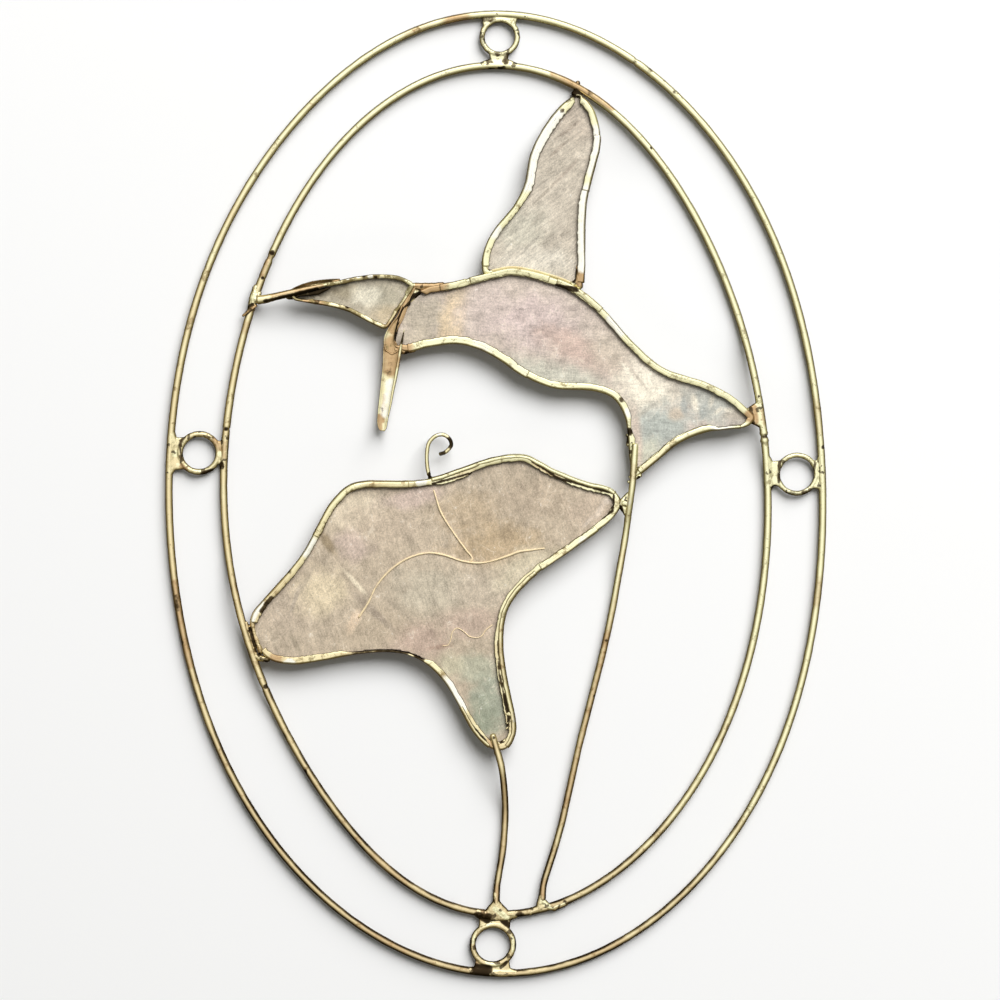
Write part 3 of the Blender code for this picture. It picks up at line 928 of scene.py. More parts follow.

# ---------------------------------------------------------------- rings
# centre x, z, radius of the hole, radius outside; then one web to each hoop:
# hoop, direction, half angle on the ring, half width at the hoop, half width between; then the marks,
# whose stain is partly sooty and partly painted shade, and whose white is painted highlight
RINGS = {
    "ring_top": (
        0.5, 114.8, 3.65, 5.1, (("outer_hoop", 91, 54, 6.2, 4.1), ("inner_hoop", 268, 26, 4.4, 1.8)),
        dict(
            stain_and_shade=[
                (-3.5, 119.2, -1.2, 119.2, 1.3, 0.55), (-3.0, 110.2, -1.9, 108.4, 1.4, 0.58),
                (2.6, 110.2, 1.9, 108.6, 1.4, 0.58), (-1.0, 110.4, 1.6, 110.4, 1.0, 0.4),
                (-1.9, 107.1, 1.6, 107.0, 0.6, 1.0), (-2.6, 116.9, 0.4, 118.2, 0.4, 0.4),
                (0.6, 118.2, 3.6, 116.9, 0.4, 0.4), (-4.3, 115.6, -3.6, 112.4, 0.7, 0.4),
            ],
            white=[(0.2, 108.4, 0.7, 0.5)],
        ),
    ),
    "ring_left": (
        -74.6, 10.8, 4.0, 5.6, (("outer_hoop", 181, 46, 5.2, 3.7), ("inner_hoop", 2, 32, 4.4, 2.4)),
        dict(
            stain_and_shade=[
                (-80.0, 5.2, -76.8, 5.0, 1.0, 0.9), (-78.2, 15.0, -79.4, 12.6, 0.9, 0.5),
                (-69.4, 14.4, 1.0, 0.7), (-73.6, 5.6, -70.6, 6.4, 1.0, 0.8),
                (-79.0, 9.0, -79.3, 12.0, 0.4, 0.6), (-69.0, 8.0, -68.6, 6.4, 0.9, 0.7),
            ],
            copper=[(-70.2, 14.0, -69.0, 11.6, 1.5, 0.7), (-79.0, 7.6, -78.0, 6.6, 1.0, 0.9)],
            white=[(-80.6, 10.6, 1.4, 0.8), (-79.9, 7.9, 0.8, 0.8), (-69.3, 10.6, 1.2, 0.7)],
        ),
    ),
    "ring_right": (
        74.8, 5.5, 4.15, 5.5, (("inner_hoop", 178, 36, 4.0, 2.6), ("outer_hoop", 0, 38, 4.9, 3.2)),
        dict(
            stain_and_shade=[
                (69.2, 1.9, 1.3, 1.0), (79.4, 8.6, 79.0, 6.6, 0.6, 0.5), (72.6, 0.8, 77.0, 1.0, 1.0, 0.4),
                (70.4, 8.4, 70.2, 3.6, 0.7, 0.5),
            ],
            white=[(80.2, 6.4, 80.0, 3.8, 1.2, 0.6)],
        ),
    ),
    "ring_bottom": (
        -1.2, -112.1, 4.2, 5.85, (("inner_hoop", 85, 42, 5.2, 3.5), ("outer_hoop", 268, 46, 6.0, 4.2)),
        dict(
            stain_and_shade=[
                (-4.8, -104.6, -2.6, -106.0, 1.2, 0.95), (1.2, -105.9, 2.8, -107.2, 1.1, 0.95),
                (-5.4, -117.8, -2.4, -118.2, 1.7, 1.0), (0.8, -117.8, 2.2, -116.4, 0.7, 0.7),
                (4.6, -114.0, 4.6, -109.6, 0.6, 0.6), (-7.0, -114.6, -7.0, -109.6, 0.8, 0.6),
                (-5.0, -111.0, -4.6, -114.4, 0.5, 0.8),
            ],
            copper=[(-3.6, -105.0, 1.8, 0.9), (-5.6, -117.0, 1.6, 0.9)],
            white=[
                (-2.6, -107.2, -0.6, -105.4, 0.5, 0.9), (2.4, -106.2, 0.4, 0.8),
                (-2.6, -116.4, 1.0, -117.6, 0.8, 0.8), (3.8, -110.4, 3.9, -113.8, 0.7, 0.6),
                (-5.6, -108.6, -6.2, -111.6, 0.6, 0.6),
            ],
        ),
    ),
}
for ring, (x, z, hole, outside, webs, marks) in RINGS.items():
    centre = at(x, z)
    middle, radius = (hole + outside) / 2, (outside - hole) / 2
    clumps = ringed(centre, middle, radius)
    for hoop, direction, spread, wide, waist in webs:
        clumps += web(centre, middle, direction, hoops[hoop], spread, wide, waist)
    finished(melted(clumps, seed=x), ring + "_soldered", SOLDER, ring, ring, marks, hollow_and_shade=True)

# ---------------------------------------------------------------- plates and channels

PANELS = {}
for panel in ("body", "raised_wing", "forward_wing", "flower"):
    inner = face_outline(panel + "_shell")
    outer = softened(even(grown(inner, RIM), closed=True), 5)
    PANELS[panel] = (even(inner, closed=True), outer)

SEEDS = {"body": 0.0, "raised_wing": 10.0, "forward_wing": 20.0, "flower": 30.0}  # of each plate's waves
CREAM, TAN = (0.99, 0.91, 0.75), (0.77, 0.61, 0.41)
LOOKS = {
    "body": pearl(
        "body_capiz", (0.66, 0.56, 0.48),
        [
            (-18.2, 44.6, 7.0, 6.0, 0, (0.54, 0.47, 0.37), 0.9),
            (-21.4, 39.6, 6.0, 3.5, 0, (0.6, 0.52, 0.4), 0.7), (-11.2, 44.6, 3.3, 10.0, -12, TAN, 0.85),
            (-1.9, 46.1, 7.5, 6.5, 0, (0.67, 0.56, 0.5), 0.9),
            (9.3, 43.6, 10.0, 6.5, 0, (0.71, 0.58, 0.54), 0.9),
            (20.6, 36.6, 12.0, 3.5, -25, (0.69, 0.52, 0.44), 0.85),
            (13.1, 30.1, 15.0, 3.5, -14, (0.62, 0.6, 0.5), 0.95),
            (28.6, 36.6, 6.0, 6.0, 0, (0.66, 0.57, 0.46), 0.8), (36.8, 27.6, 8.0, 6.5, 35, CREAM, 0.95),
            (43.6, 26.1, 6.0, 4.0, 0, (0.82, 0.75, 0.62), 0.8),
            (53.6, 23.3, 9.0, 5.0, -20, (0.56, 0.56, 0.5), 0.95),
            (41.3, 17.1, 8.0, 6.0, 15, (0.52, 0.55, 0.5), 0.95),
            (44.6, 20.6, 2.2, 1.8, 0, (0.62, 0.5, 0.38), 0.7),
            (37.6, 10.1, 2.6, 5.0, -20, (0.6, 0.6, 0.48), 0.8),
            (34.8, 14.1, 1.2, 8.0, 5, (0.76, 0.63, 0.52), 0.8),
            (60.1, 20.6, 4.0, 2.0, 0, (0.62, 0.54, 0.44), 0.8), (49.2, 23.4, 0.9, 2.4, 12, CREAM, 0.9),
            (53.2, 23.4, 0.6, 2.0, -28, CREAM, 0.6), (55.2, 21.4, 0.5, 1.4, -48, CREAM, 0.5),
            (57.8, 21.4, 1.4, 0.6, -20, CREAM, 0.7), (46.6, 22.6, 1.0, 2.2, 10, (0.42, 0.44, 0.42), 0.7),
            (51.6, 21.4, 1.0, 2.2, -20, (0.44, 0.46, 0.43), 0.7), (32.6, 31.0, 0.5, 2.6, 35, CREAM, 0.9),
            (35.0, 29.6, 0.4, 3.0, 38, (0.62, 0.54, 0.44), 0.7), (38.4, 25.2, 3.4, 1.2, 32, CREAM, 0.95),
            (38.8, 22.6, 5.5, 0.5, 32, (0.55, 0.52, 0.44), 0.7),
        ],
        grain=-3.0, streak=0.8,
    ),
    "raised_wing": pearl(
        "raised_wing_capiz", (0.62, 0.55, 0.45),
        [
            (19.3, 94.1, 5.0, 7.0, 0, (0.55, 0.47, 0.38), 0.85),
            (15.1, 84.1, 8.0, 6.0, 0, (0.61, 0.54, 0.44), 0.8),
            (12.6, 74.1, 7.0, 6.0, 0, (0.63, 0.56, 0.46), 0.8),
            (5.6, 67.1, 7.0, 6.0, 0, (0.64, 0.6, 0.49), 0.9),
            (10.1, 58.6, 10.0, 3.5, 0, (0.75, 0.69, 0.58), 0.9),
            (20.1, 65.3, 3.5, 8.0, 0, (0.6, 0.53, 0.43), 0.8),
            (17.6, 91.6, 3.6, 0.45, 38, (0.42, 0.35, 0.28), 0.75),
            (15.6, 87.2, 3.2, 0.4, 42, (0.42, 0.35, 0.28), 0.7),
            (16.6, 80.6, 4.6, 0.5, 45, (0.44, 0.37, 0.3), 0.75),
            (12.6, 76.6, 4.2, 0.4, 45, (0.46, 0.4, 0.32), 0.7),
            (10.0, 69.6, 3.6, 0.5, 50, (0.48, 0.43, 0.35), 0.7),
            (17.2, 66.2, 2.4, 0.9, 55, (0.48, 0.42, 0.34), 0.7),
            (8.4, 63.2, 2.6, 0.4, 45, (0.46, 0.42, 0.35), 0.7),
        ],
        grain=38.0, cross=80.0, streak=1.25,
    ),
    "forward_wing": pearl(
        "forward_wing_capiz", (0.52, 0.46, 0.35),
        [
            (-38.2, 51.3, 5.0, 2.0, 0, (0.42, 0.36, 0.25), 0.8),
            (-27.4, 49.6, 4.0, 3.0, 0, (0.55, 0.5, 0.38), 0.8),
            (-27.4, 45.3, 4.0, 2.5, 0, (0.66, 0.54, 0.36), 0.8),
            # Painted highlight: a pale glint on the shell.
            (-32.7, 50.1, 3.5, 2.6, 0, (0.88, 0.82, 0.66), 0.85),
            # Painted shadow: near black in the recess under the flap and spike.
            (-46.4, 50.7, 7.0, 1.5, 12, (0.05, 0.035, 0.015), 1.0),
        ],
        grain=60.0, cross=-30.0, streak=0.7,
    ),
    "flower": pearl(
        "flower_capiz", (0.58, 0.48, 0.36),
        [
            (-37.2, -3.4, 10.0, 5.0, 10, (0.76, 0.65, 0.49), 0.85),
            (-26.9, -7.2, 10.0, 5.0, 0, (0.61, 0.5, 0.38), 0.8),
            (-6.9, -4.0, 9.0, 5.0, 0, (0.56, 0.44, 0.3), 0.85),
            (9.3, -1.0, 10.0, 5.5, 0, (0.53, 0.43, 0.32), 0.85),
            (24.3, -4.0, 6.0, 5.5, 0, (0.63, 0.51, 0.39), 0.85),
            (0.6, -12.2, 12.0, 5.5, 0, (0.53, 0.4, 0.25), 0.85),
            (-52.4, -29.0, 7.0, 6.0, 0, (0.57, 0.47, 0.36), 0.85),
            (-43.9, -24.0, 6.5, 5.5, 35, (0.82, 0.69, 0.48), 0.9),
            (-16.9, -23.5, 10.0, 6.5, 0, (0.6, 0.53, 0.41), 0.85),
            (-3.2, -24.0, 8.0, 5.0, 0, (0.59, 0.5, 0.39), 0.8),
            (6.8, -18.0, 9.0, 4.5, 25, (0.68, 0.6, 0.44), 0.85),
            (-19.4, -36.0, 7.5, 4.5, 0, (0.6, 0.45, 0.36), 0.85),
            (-6.9, -31.5, 9.0, 3.5, 0, (0.57, 0.44, 0.35), 0.85),
            (-4.9, -43.0, 6.5, 4.0, 0, (0.49, 0.48, 0.36), 0.9),
            (-1.9, -51.7, 4.5, 8.0, 10, (0.42, 0.44, 0.34), 0.95),
            (-3.6, -55.4, 3.4, 4.4, 20, (0.32, 0.345, 0.255), 0.9),
            (-3.4, -50.2, 3.4, 0.5, 8, (0.34, 0.36, 0.27), 0.6),
            (-11.9, -42.2, 3.0, 3.5, 0, (0.62, 0.57, 0.41), 0.8),
            (-31.9, -34.0, 10.0, 5.0, 20, (0.55, 0.45, 0.33), 0.8),
            (-36.4, -12.2, 5.0, 4.0, 0, (0.64, 0.51, 0.43), 0.8),
            (-21.9, -0.5, 8.0, 2.5, 10, (0.63, 0.5, 0.43), 0.8),
            (-14.0, -37.6, 3.0, 0.6, 8, (0.34, 0.22, 0.16), 0.5),
            (-35.6, -21.6, 4.2, 0.6, -48, (0.92, 0.8, 0.6), 0.95),
            (-31.5, -28.5, 7.0, 0.9, -43, (0.38, 0.31, 0.24), 0.8),
            (-42.4, -11.8, 4.2, 1.2, -56, (0.34, 0.26, 0.16), 0.85),
            (-50.4, -37.0, 3.4, 0.7, -62, (0.36, 0.3, 0.22), 0.75),
            (-35.9, -31.2, 1.2, 3.0, -25, (0.82, 0.64, 0.46), 0.8),
            (-48.0, -21.5, 4.0, 0.6, 62, (0.44, 0.37, 0.28), 0.6),
            (-50.5, -25.5, 4.0, 0.5, 70, (0.44, 0.37, 0.3), 0.6),
            (-25.0, -28.0, 7.0, 0.6, -40, (0.45, 0.38, 0.29), 0.5),
            (25.6, -3.4, 2.4, 0.8, 62, (0.86, 0.73, 0.6), 0.7),
            (27.4, -1.2, 1.4, 0.9, 0, (0.84, 0.72, 0.6), 0.7),
            (22.6, -6.4, 2.0, 0.5, 50, (0.86, 0.74, 0.62), 0.6),
        ],
        grain=108.0, cross=50.0, streak=0.85,
    ),
}

# Where the front lip of a channel is narrower or wider: x, z, reach, width there
TUCKS = {
    "body": (
        (-21.5, 50.8, 3.0, 0.3), (-24.6, 45.0, 4.5, 0.3), (-26.2, 39.5, 3.5, 0.4),
        (-13.5, 53.0, 4.0, 1.9), (35.0, 17.5, 4.0, 0.9), (58.0, 17.0, 5.0, 0.8),
    ),
    "raised_wing": (
        (23.4, 90.3, 0.8, 0.5), (0.0, 72.0, 6.0, 1.8), (15.6, 96.4, 4.0, 2.4), (12.6, 90.0, 8.0, 2.6),
        (8.4, 81.5, 8.0, 2.4), (21.8, 68.0, 10.0, 2.1), (19.9, 99.6, 1.6, 0.3),
    ),
    "forward_wing": ((-23.8, 48.8, 3.0, 0.85), (-26.5, 43.8, 2.5, 0.85), (-49.0, 49.9, 3.0, 0.7)),
    "flower": (
        (-10.7, 4.9, 5.5, 2.5), (12.0, 6.4, 5.0, 1.9), (22.0, 2.3, 7.0, 2.0), (29.5, -2.0, 3.5, 2.0),
        (-34.0, -39.2, 5.0, 0.9), (-22.0, -38.6, 6.0, 0.5), (-30.5, -39.5, 6.0, 0.6),
        (1.5, -38.5, 5.5, 2.1), (1.9, -46.5, 5.0, 2.2), (4.2, -54.0, 4.6, 2.4), (-5.0, -59.0, 3.6, 1.9),
        (-60.8, -29.0, 3.5, 2.2), (-54.5, -20.5, 5.0, 1.9), (-50.0, -41.6, 7.0, 2.0),
    ),
}
# Marks of the channels: stain partly sooty and partly painted shade in gaps and under lips, white painted
# highlight.
CHANNEL_MARKS = {
    "body": dict(
        stain_and_shade=[
            (-24.0, 46.0, 3.2, 0.8), (-26.5, 41.0, 3.2, 0.8), (14.6, 52.2, 19.4, 51.6, 1.0, 1.0),
            (-20.0, 50.8, -23.4, 46.4, 1.4, 0.9), (-23.4, 46.4, -26.0, 40.6, 1.2, 0.8),
            (19.6, 51.6, 1.0, 0.6), (32.8, 16.0, 1.4, 1.0), (31.0, 24.0, 1.2, 0.5),
            (-14.5, 52.0, 0.6, 0.3), (-7.4, 53.4, 0.6, 0.3),
        ],
        copper=[
            (-17.0, 53.2, 7.0, 1.0), (-24.0, 36.8, 4.5, 1.0), (36.6, 7.2, 43.0, 12.6, 1.8, 0.35),
            (63.0, 20.0, 2.5, 1.0), (42.0, 12.0, 6.0, 0.35), (-23.0, 36.4, 1.6, 0.8),
        ],
        white=[
            (29.5, 42.5, 4.4, 1.0), (-3.5, 38.0, 5.0, 0.4), (6.0, 32.5, 5.0, 0.3), (33.0, 21.0, 2.2, 0.8),
            (56.0, 18.0, 5.0, 0.7),
        ],
    ),
    "raised_wing": dict(
        stain_and_shade=[
            (17.6, 98.8, 1.2, 0.35), (16.0, 96.2, 0.9, 0.45), (21.3, 98.0, 1.0, 0.35),
            (24.2, 90.3, 0.7, 0.4), (3.0, 75.4, 0.8, 0.6), (18.8, 100.4, 1.2, 1.0),
        ],
        copper=[(20.0, 55.0, 3.5, 1.0)],
        white=[
            (14.3, 93.5, 4.5, 1.0), (11.5, 87.5, 7.0, 1.0), (8.0, 80.0, 6.0, 1.0), (24.5, 88.5, 6.0, 0.9),
            (25.0, 82.0, 5.0, 0.7), (22.6, 73.0, 7.0, 1.0), (21.4, 64.0, 7.0, 1.0),
            (21.6, 58.6, 4.0, 1.0), (-0.5, 66.0, 3.0, 0.7),
        ],
    ),
    "forward_wing": dict(
        stain_and_shade=[
            (-36.2, 54.8, 0.6, 0.9), (-33.4, 55.0, 0.6, 0.9), (-30.4, 54.6, 0.6, 0.9),
            (-39.5, 54.2, 1.0, 0.7), (-34.0, 46.4, 0.8, 0.9), (-37.5, 47.4, 0.9, 0.8),
            (-31.0, 45.2, 0.8, 0.7), (-45.0, 48.9, 1.4, 0.5),
        ],
        copper=[(-46.0, 49.0, 5.5, 1.0), (-24.5, 48.0, 3.4, 0.5), (-27.4, 42.8, 1.8, 0.7)],
        white=[
            (-37.5, 54.6, 0.9, 1.0), (-34.8, 55.0, 0.9, 1.0), (-31.8, 54.9, 0.9, 1.0),
            (-29.0, 54.2, 0.8, 0.9), (-35.4, 47.0, 0.9, 1.0), (-32.2, 45.6, 0.7, 0.9),
        ],
    ),
    "flower": dict(
        stain_and_shade=[
            (-56.4, -25.4, -58.8, -28.6, 1.0, 0.7), (-58.4, -41.0, 1.2, 0.8), (-34.0, -39.8, 5.0, 0.55),
            (-26.0, -38.6, 6.0, 0.85), (-19.6, -40.2, 2.2, 0.7), (-14.4, 4.9, 0.9, 0.8),
            (29.2, -6.4, 1.0, 0.8), (-16.2, 3.1, -3.3, 6.7, 0.4, 0.9), (8.6, 8.7, 15.3, 4.4, 0.45, 0.9),
            (15.3, 4.4, 28.4, 0.9, 0.5, 1.0), (29.0, 0.2, 28.6, -3.7, 0.45, 0.8),
            (28.6, -3.7, 23.5, -7.2, 0.45, 0.8), (0.1, -36.0, 0.3, -44.0, 0.5, 0.55),
            (0.3, -44.0, 1.5, -49.5, 0.5, 0.6), (1.5, -49.5, 2.8, -55.4, 0.55, 1.0),
            (2.8, -55.4, 2.0, -60.0, 0.55, 1.0), (-6.6, -57.0, -3.0, -61.2, 0.45, 0.9),
            (24.6, 2.6, 0.9, 0.7), (-52.0, -19.0, 1.0, 0.5), (6.0, 6.2, 0.8, 0.4),
        ],
        copper=[
            (-55.5, -40.6, 2.6, 0.8), (-8.0, 5.4, 6.0, 0.45), (14.0, 5.2, 4.0, 0.5),
            (9.0, 8.4, 15.0, 4.6, 1.2, 0.6), (-1.0, -61.0, 3.0, 0.8),
        ],
        white=[
            (-19.0, 3.6, 2.0, 1.0), (-46.5, -13.0, 4.0, 0.9), (-59.4, -26.6, -61.8, -31.0, 1.6, 0.8),
            (-52.0, -42.3, 2.6, 0.8), (-11.5, -50.0, 7.0, 1.0), (22.0, -12.0, 3.0, 0.7),
            (0.6, -52.6, 1.9, -57.0, 0.5, 0.7),
        ],
    ),
}
LIPS = {"body": 1.8, "flower": 1.75, "raised_wing": 1.9, "forward_wing": 1.15}
SUNK = {
    "flower": (
        (-11.0, 4.8, 7.5, 0.4), (14.0, 5.6, 8.0, 0.42), (23.0, 2.4, 9.0, 0.42), (1.4, -46.0, 15.0, 0.42),
        (8.0, -26.0, 8.0, 0.3), (-5.4, -58.4, 5.0, 0.42),
    ),
}
BEAD_MARKS = dict(
    stain_and_shade=[(2.0, -38.4, 1.0, 0.3)], copper=[(3.4, -46.4, 1.8, 0.4)],
    white=[(4.2, -52.0, 4.4, -56.0, 0.9, 0.5)],
)
BOUND = {"flower": ((-60.0, -39.6), (-62.9, -31.6))}  # from and to, where a channel doesn't go all round
CLEAR = 1.7  # how far from the body's channel the raised wing's channel stops
BEAD_LIP = 1.4  # a sleeve with a narrower lip is a bead


def nearest(line, x, z):
    """The number of the line's point that is nearest to a place on the drawing."""
    place = at(x, z)
    return int(np.argmin(np.linalg.norm(line[:, [0, 2]] - (place.x, place.z), axis=1)))


def stretch(line, begin, end):
    """The numbers of a closed line's points from one place on the drawing round to another."""
    first, last = nearest(line, *begin), nearest(line, *end)
    return [(first + k) % len(line) for k in range((last - first) % len(line) + 1)]


for panel, (inner, outer) in PANELS.items():
    shell, edging = panel + "_shell", panel + "_edging"
    finished(plate(shell, inner, SEEDS[panel]), panel + "_plate", LOOKS[panel], shell, shell)
    keep = list(range(len(outer)))
    if panel == "raised_wing":
        clear = distance_to(outer, PANELS["body"][1]) > CLEAR
        first = next(i for i in keep if clear[i] and not clear[i - 1])
        order = [(first + k) % len(clear) for k in keep]
        keep = [i for n, i in enumerate(order) if all(clear[j] for j in order[:n + 1])]
    if panel in BOUND:
        keep = stretch(outer, *BOUND[panel])
    look = OLD_STRIP if panel == "forward_wing" else STRIP
    all_round = len(keep) == len(outer)
    strip = channel(outer[keep], room_inside(outer)[keep], all_round, SEEDS[panel] + 3, LIPS[panel],
                    tucks=TUCKS[panel], sunk=SUNK.get(panel, ()))
    finished(strip, panel + "_channel", look, edging, edging, CHANNEL_MARKS[panel])

# A seam of wire behind the raised wing's foot
edge = softened(even(grown([Vector(point) for point in PANELS["body"][0]], RIM + 0.4), closed=True), 5)
seam = edge[stretch(edge, (19.6, 56.0), (-2.6, 58.0))] + (0, 0.3, 0)
finished(
    wire(seam, 0.42, sides=12, seed=21.0), "wing_seam", WIRE, "raised_wing_edging", None,
    dict(copper=[(8.0, 58.0, 30.0, 0.5)]),
)

# Strips folded over the channels, whose ends show as steps: panel, from, to (counter-clockwise), lip,
# lift, flat
SLEEVES = (
    ("flower", (29.6, 0.8), (-16.6, 4.0), 1.15, 0.16, 0.4),
    ("flower", (1.6, -61.6), (12.0, -22.0), 1.3, 0.2, 0.35),
    ("flower", (-9.4, -52.8), (-1.8, -62.2), 1.05, 0.16, 0.35),
    ("flower", (13.0, -21.0), (24.8, -8.2), 1.75, 0.14, 0.75),
    ("flower", (-22.0, 2.4), (-44.5, -10.5), 1.85, 0.1, 0.5),
    ("body", (26.0, 46.6), (14.2, 52.4), 1.7, 0.14, 0.7),
    ("body", (12.6, 53.8), (-7.2, 54.0), 1.7, 0.12, 0.8),
    ("body", (-7.6, 53.6), (-14.4, 52.2), 1.4, 0.1, 0.7),
    ("body", (-22.4, 36.4), (8.0, 31.0), 2.05, 0.1, 0.8),
    ("body", (36.4, 4.6), (60.4, 19.0), 1.75, 0.12, 0.5),
    ("raised_wing", (24.0, 76.0), (24.4, 90.2), 1.95, 0.12, 0.7),
)
for number, (panel, begin, end, lip, lift, flat) in enumerate(SLEEVES):
    outer = PANELS[panel][1]
    keep = stretch(outer, begin, end)
    bead = lip < BEAD_LIP
    strip = channel(outer[keep], room_inside(outer)[keep], False, number * 7.0 + 50, lip,
                    lift=lift, flat=flat, tucks=() if bead else TUCKS[panel])
    finished(strip, f"sleeve_{number}", STRIP, panel + "_edging", None,
             BEAD_MARKS if bead else CHANNEL_MARKS[panel])

# ---------------------------------------------------------------- stems and tendril

STEM_MARKS = {
    "flower_stem": dict(
        stain_and_shade=[(0.0, -75.0, 0.8, 0.5), (-1.0, -60.2, 0.6, 0.6)],
        copper=[(-0.6, -62.0, 2.0, 0.4), (1.4, -72.0, 1.0, -92.0, 2.0, 0.5), (0.2, -99.0, 4.0, 0.7)],
    ),
    "tail_stem": dict(
        stain_and_shade=[(27.1, -36.0, 0.6, 0.5), (24.3, -49.9, 0.7, 0.5), (33.0, 9.0, 0.6, 0.4)],
        copper=[
            (27.6, -36.0, 4.0, 0.8), (32.4, -14.0, 27.6, -36.0, 1.5, 0.5),
            (27.4, -37.0, 17.0, -77.0, 1.5, 0.6), (33.5, 6.0, 4.0, 0.4), (18.0, -78.0, 7.0, 0.5),
            (12.0, -98.0, 4.0, 0.7),
        ],
        white=[(31.6, -1.0, 2.6, 0.6)],
    ),
}
for stem, bottom, top in (("flower_stem", -102.9, -59.1), ("tail_stem", -101.3, 13.3)):
    levels = np.linspace(bottom + 0.1, top - 0.1, 60) - HANG_Z
    line = softened(even(slices(stem, levels, STEM_R)), 6, closed=False)
    finished(wire(line, STEM_R, seed=9.0), stem + "_wire", WIRE, stem, stem, STEM_MARKS[stem])

curl = crest_line("flower_tendril", at(-17.1, 5.0))
finished(
    wire(even(curved(curl), 0.25), TENDRIL_R, sides=12, seed=12.0), "tendril_wire", WIRE,
    "flower_tendril", "flower_tendril",
    dict(
        stain_and_shade=[(-16.8, 5.4, 1.0, 0.9), (-11.4, 13.4, 2.4, 0.85), (-13.8, 10.8, 1.2, 0.7)],
        white=[(-14.6, 15.2, 1.2, 0.6)],
    ),
)

# ---------------------------------------------------------------- beak, neck, spike and flap

def lined(places, y, step=0.3):
    """A smooth, evenly stepped line through places on the drawing, y millimetres behind its plane."""
    return even(curved([at(x, z, y) for x, z in places]), step)


BEAK_LINE = (
    (-20.6, 52.9), (-21.4, 51.4), (-22.5, 49.6), (-24.2, 44.9), (-25.7, 42.6), (-26.7, 40.6),
    (-27.1, 38.9), (-26.8, 37.4), (-26.7, 35.1), (-27.0, 31.6), (-27.7, 26.6), (-28.4, 21.6),
    (-28.8, 18.6), (-28.8, 17.1), (-28.9, 16.3),
)
BEAK_WIDTHS = (1.0, 1.3, 1.6, 1.7, 2.1, 2.5, 2.8, 3.6, 4.0, 3.7, 3.35, 3.05, 2.7, 2.3, 1.2)


def widths_along(places, widths, count):
    """The widths at even steps along the places, to go with a line through them."""
    run = np.concatenate([[0], np.cumsum([math.dist(a, b) for a, b in zip(places, places[1:])])])
    return np.interp(np.linspace(0, run[-1], count), run, widths)


finished(
    ribbon(lined(BEAK_LINE, -0.75), widths_along(BEAK_LINE, BEAK_WIDTHS, 60)), "beak_strip", SHEET,
    "beak", "beak",
    dict(
        stain_and_shade=[(-28.5, 22.0, -28.8, 19.0, 0.35, 0.45), (-26.8, 34.2, -27.2, 30.4, 1.1, 0.3)],
        copper=[
            (-21.5, 51.0, -25.8, 42.2, 3.0, 0.9), (-26.4, 38.0, -26.6, 32.0, 3.6, 0.9),
            (-28.3, 25.0, -28.8, 18.8, 0.9, 0.9), (-29.6, 20.0, -29.3, 16.8, 0.9, 0.9),
            (-26.6, 34.0, 1.6, 1.0),
        ],
        white=[(-26.6, 28.0, -27.8, 21.0, 2.4, 0.6)],
    ),
)
finished(
    melted(
        joined(
            [
                (at(-28.3, 38.2, -1.2), 0.2), (at(-27.9, 36.4, -1.2), 0.25),
                (at(-26.4, 35.4, -1.2), 0.26), (at(-25.0, 36.2, -1.2), 0.25),
                (at(-24.6, 37.2, -1.2), 0.2),
            ],
        ),
        voxel=0.09, relief=0.03,
    ),
    "beak_lap", SOLDER, "beak", None, dict(copper=[(-26.4, 36.6, 4.0, 1.0)]),
)
PRONG_LINE = (
    (-27.3, 20.0), (-26.7, 23.0), (-26.1, 26.5), (-25.4, 30.0), (-24.7, 34.0), (-24.2, 37.0),
    (-23.3, 41.6),
)
finished(
    wire(
        lined(PRONG_LINE, -1.45), 0.5, sides=12, seed=3.0,
        taper=(0.15, 0.28, 0.36, 0.42, 0.44, 0.4, 0.3, 0.1),
    ),
    "beak_prong", WIRE, "beak", None,
    dict(stain_and_shade=[(-23.8, 39.5, 2.2, 0.7)], copper=[(-25.2, 33.5, 2.5, 0.8)]),
)

SPIKE_LINE = ((-60.2, 48.9), (-58.0, 49.2), (-55.0, 49.9), (-51.5, 50.7), (-47.0, 51.8), (-42.4, 52.9))
finished(
    wire(
        lined(SPIKE_LINE, -1.35), 0.4, sides=12, seed=4.0, uneven=0.08,
        taper=(1.15, 1.0, 0.95, 0.9, 0.8, 0.6, 0.3),
    ),
    "wing_spike", WIRE, "forward_wing_edging", None,
    dict(stain_and_shade=[(-58.0, 48.7, -45.0, 51.7, 0.6, 1.0)], copper=[(-56.0, 50.0, -44.0, 52.6, 1.2, 0.7)]),
)
FLAP_LINE = ((-52.8, 50.7), (-50.4, 51.7), (-47.6, 52.5), (-44.4, 53.2), (-41.0, 53.8), (-39.4, 54.1))
finished(
    ribbon(lined(FLAP_LINE, -0.75), (0.3, 1.1, 1.6, 1.8, 1.6, 1.2, 0.5), front=0.4, sink=0.3),
    "wing_flap", OLD_STRIP, "forward_wing_edging", None,
    dict(stain_and_shade=[(-50.0, 51.4, -42.0, 53.2, 1.3, 0.55)], copper=[(-52.0, 51.4, -40.0, 54.2, 2.6, 1.0)]),
)

# ---------------------------------------------------------------- solder, crusts and burrs

def clumped(clumps):
    """Clumps of drops of solder, from drops given as (x, z, y, radius)."""
    return [[(at(x, z, y), radius) for x, z, y, radius in clump] for clump in clumps]
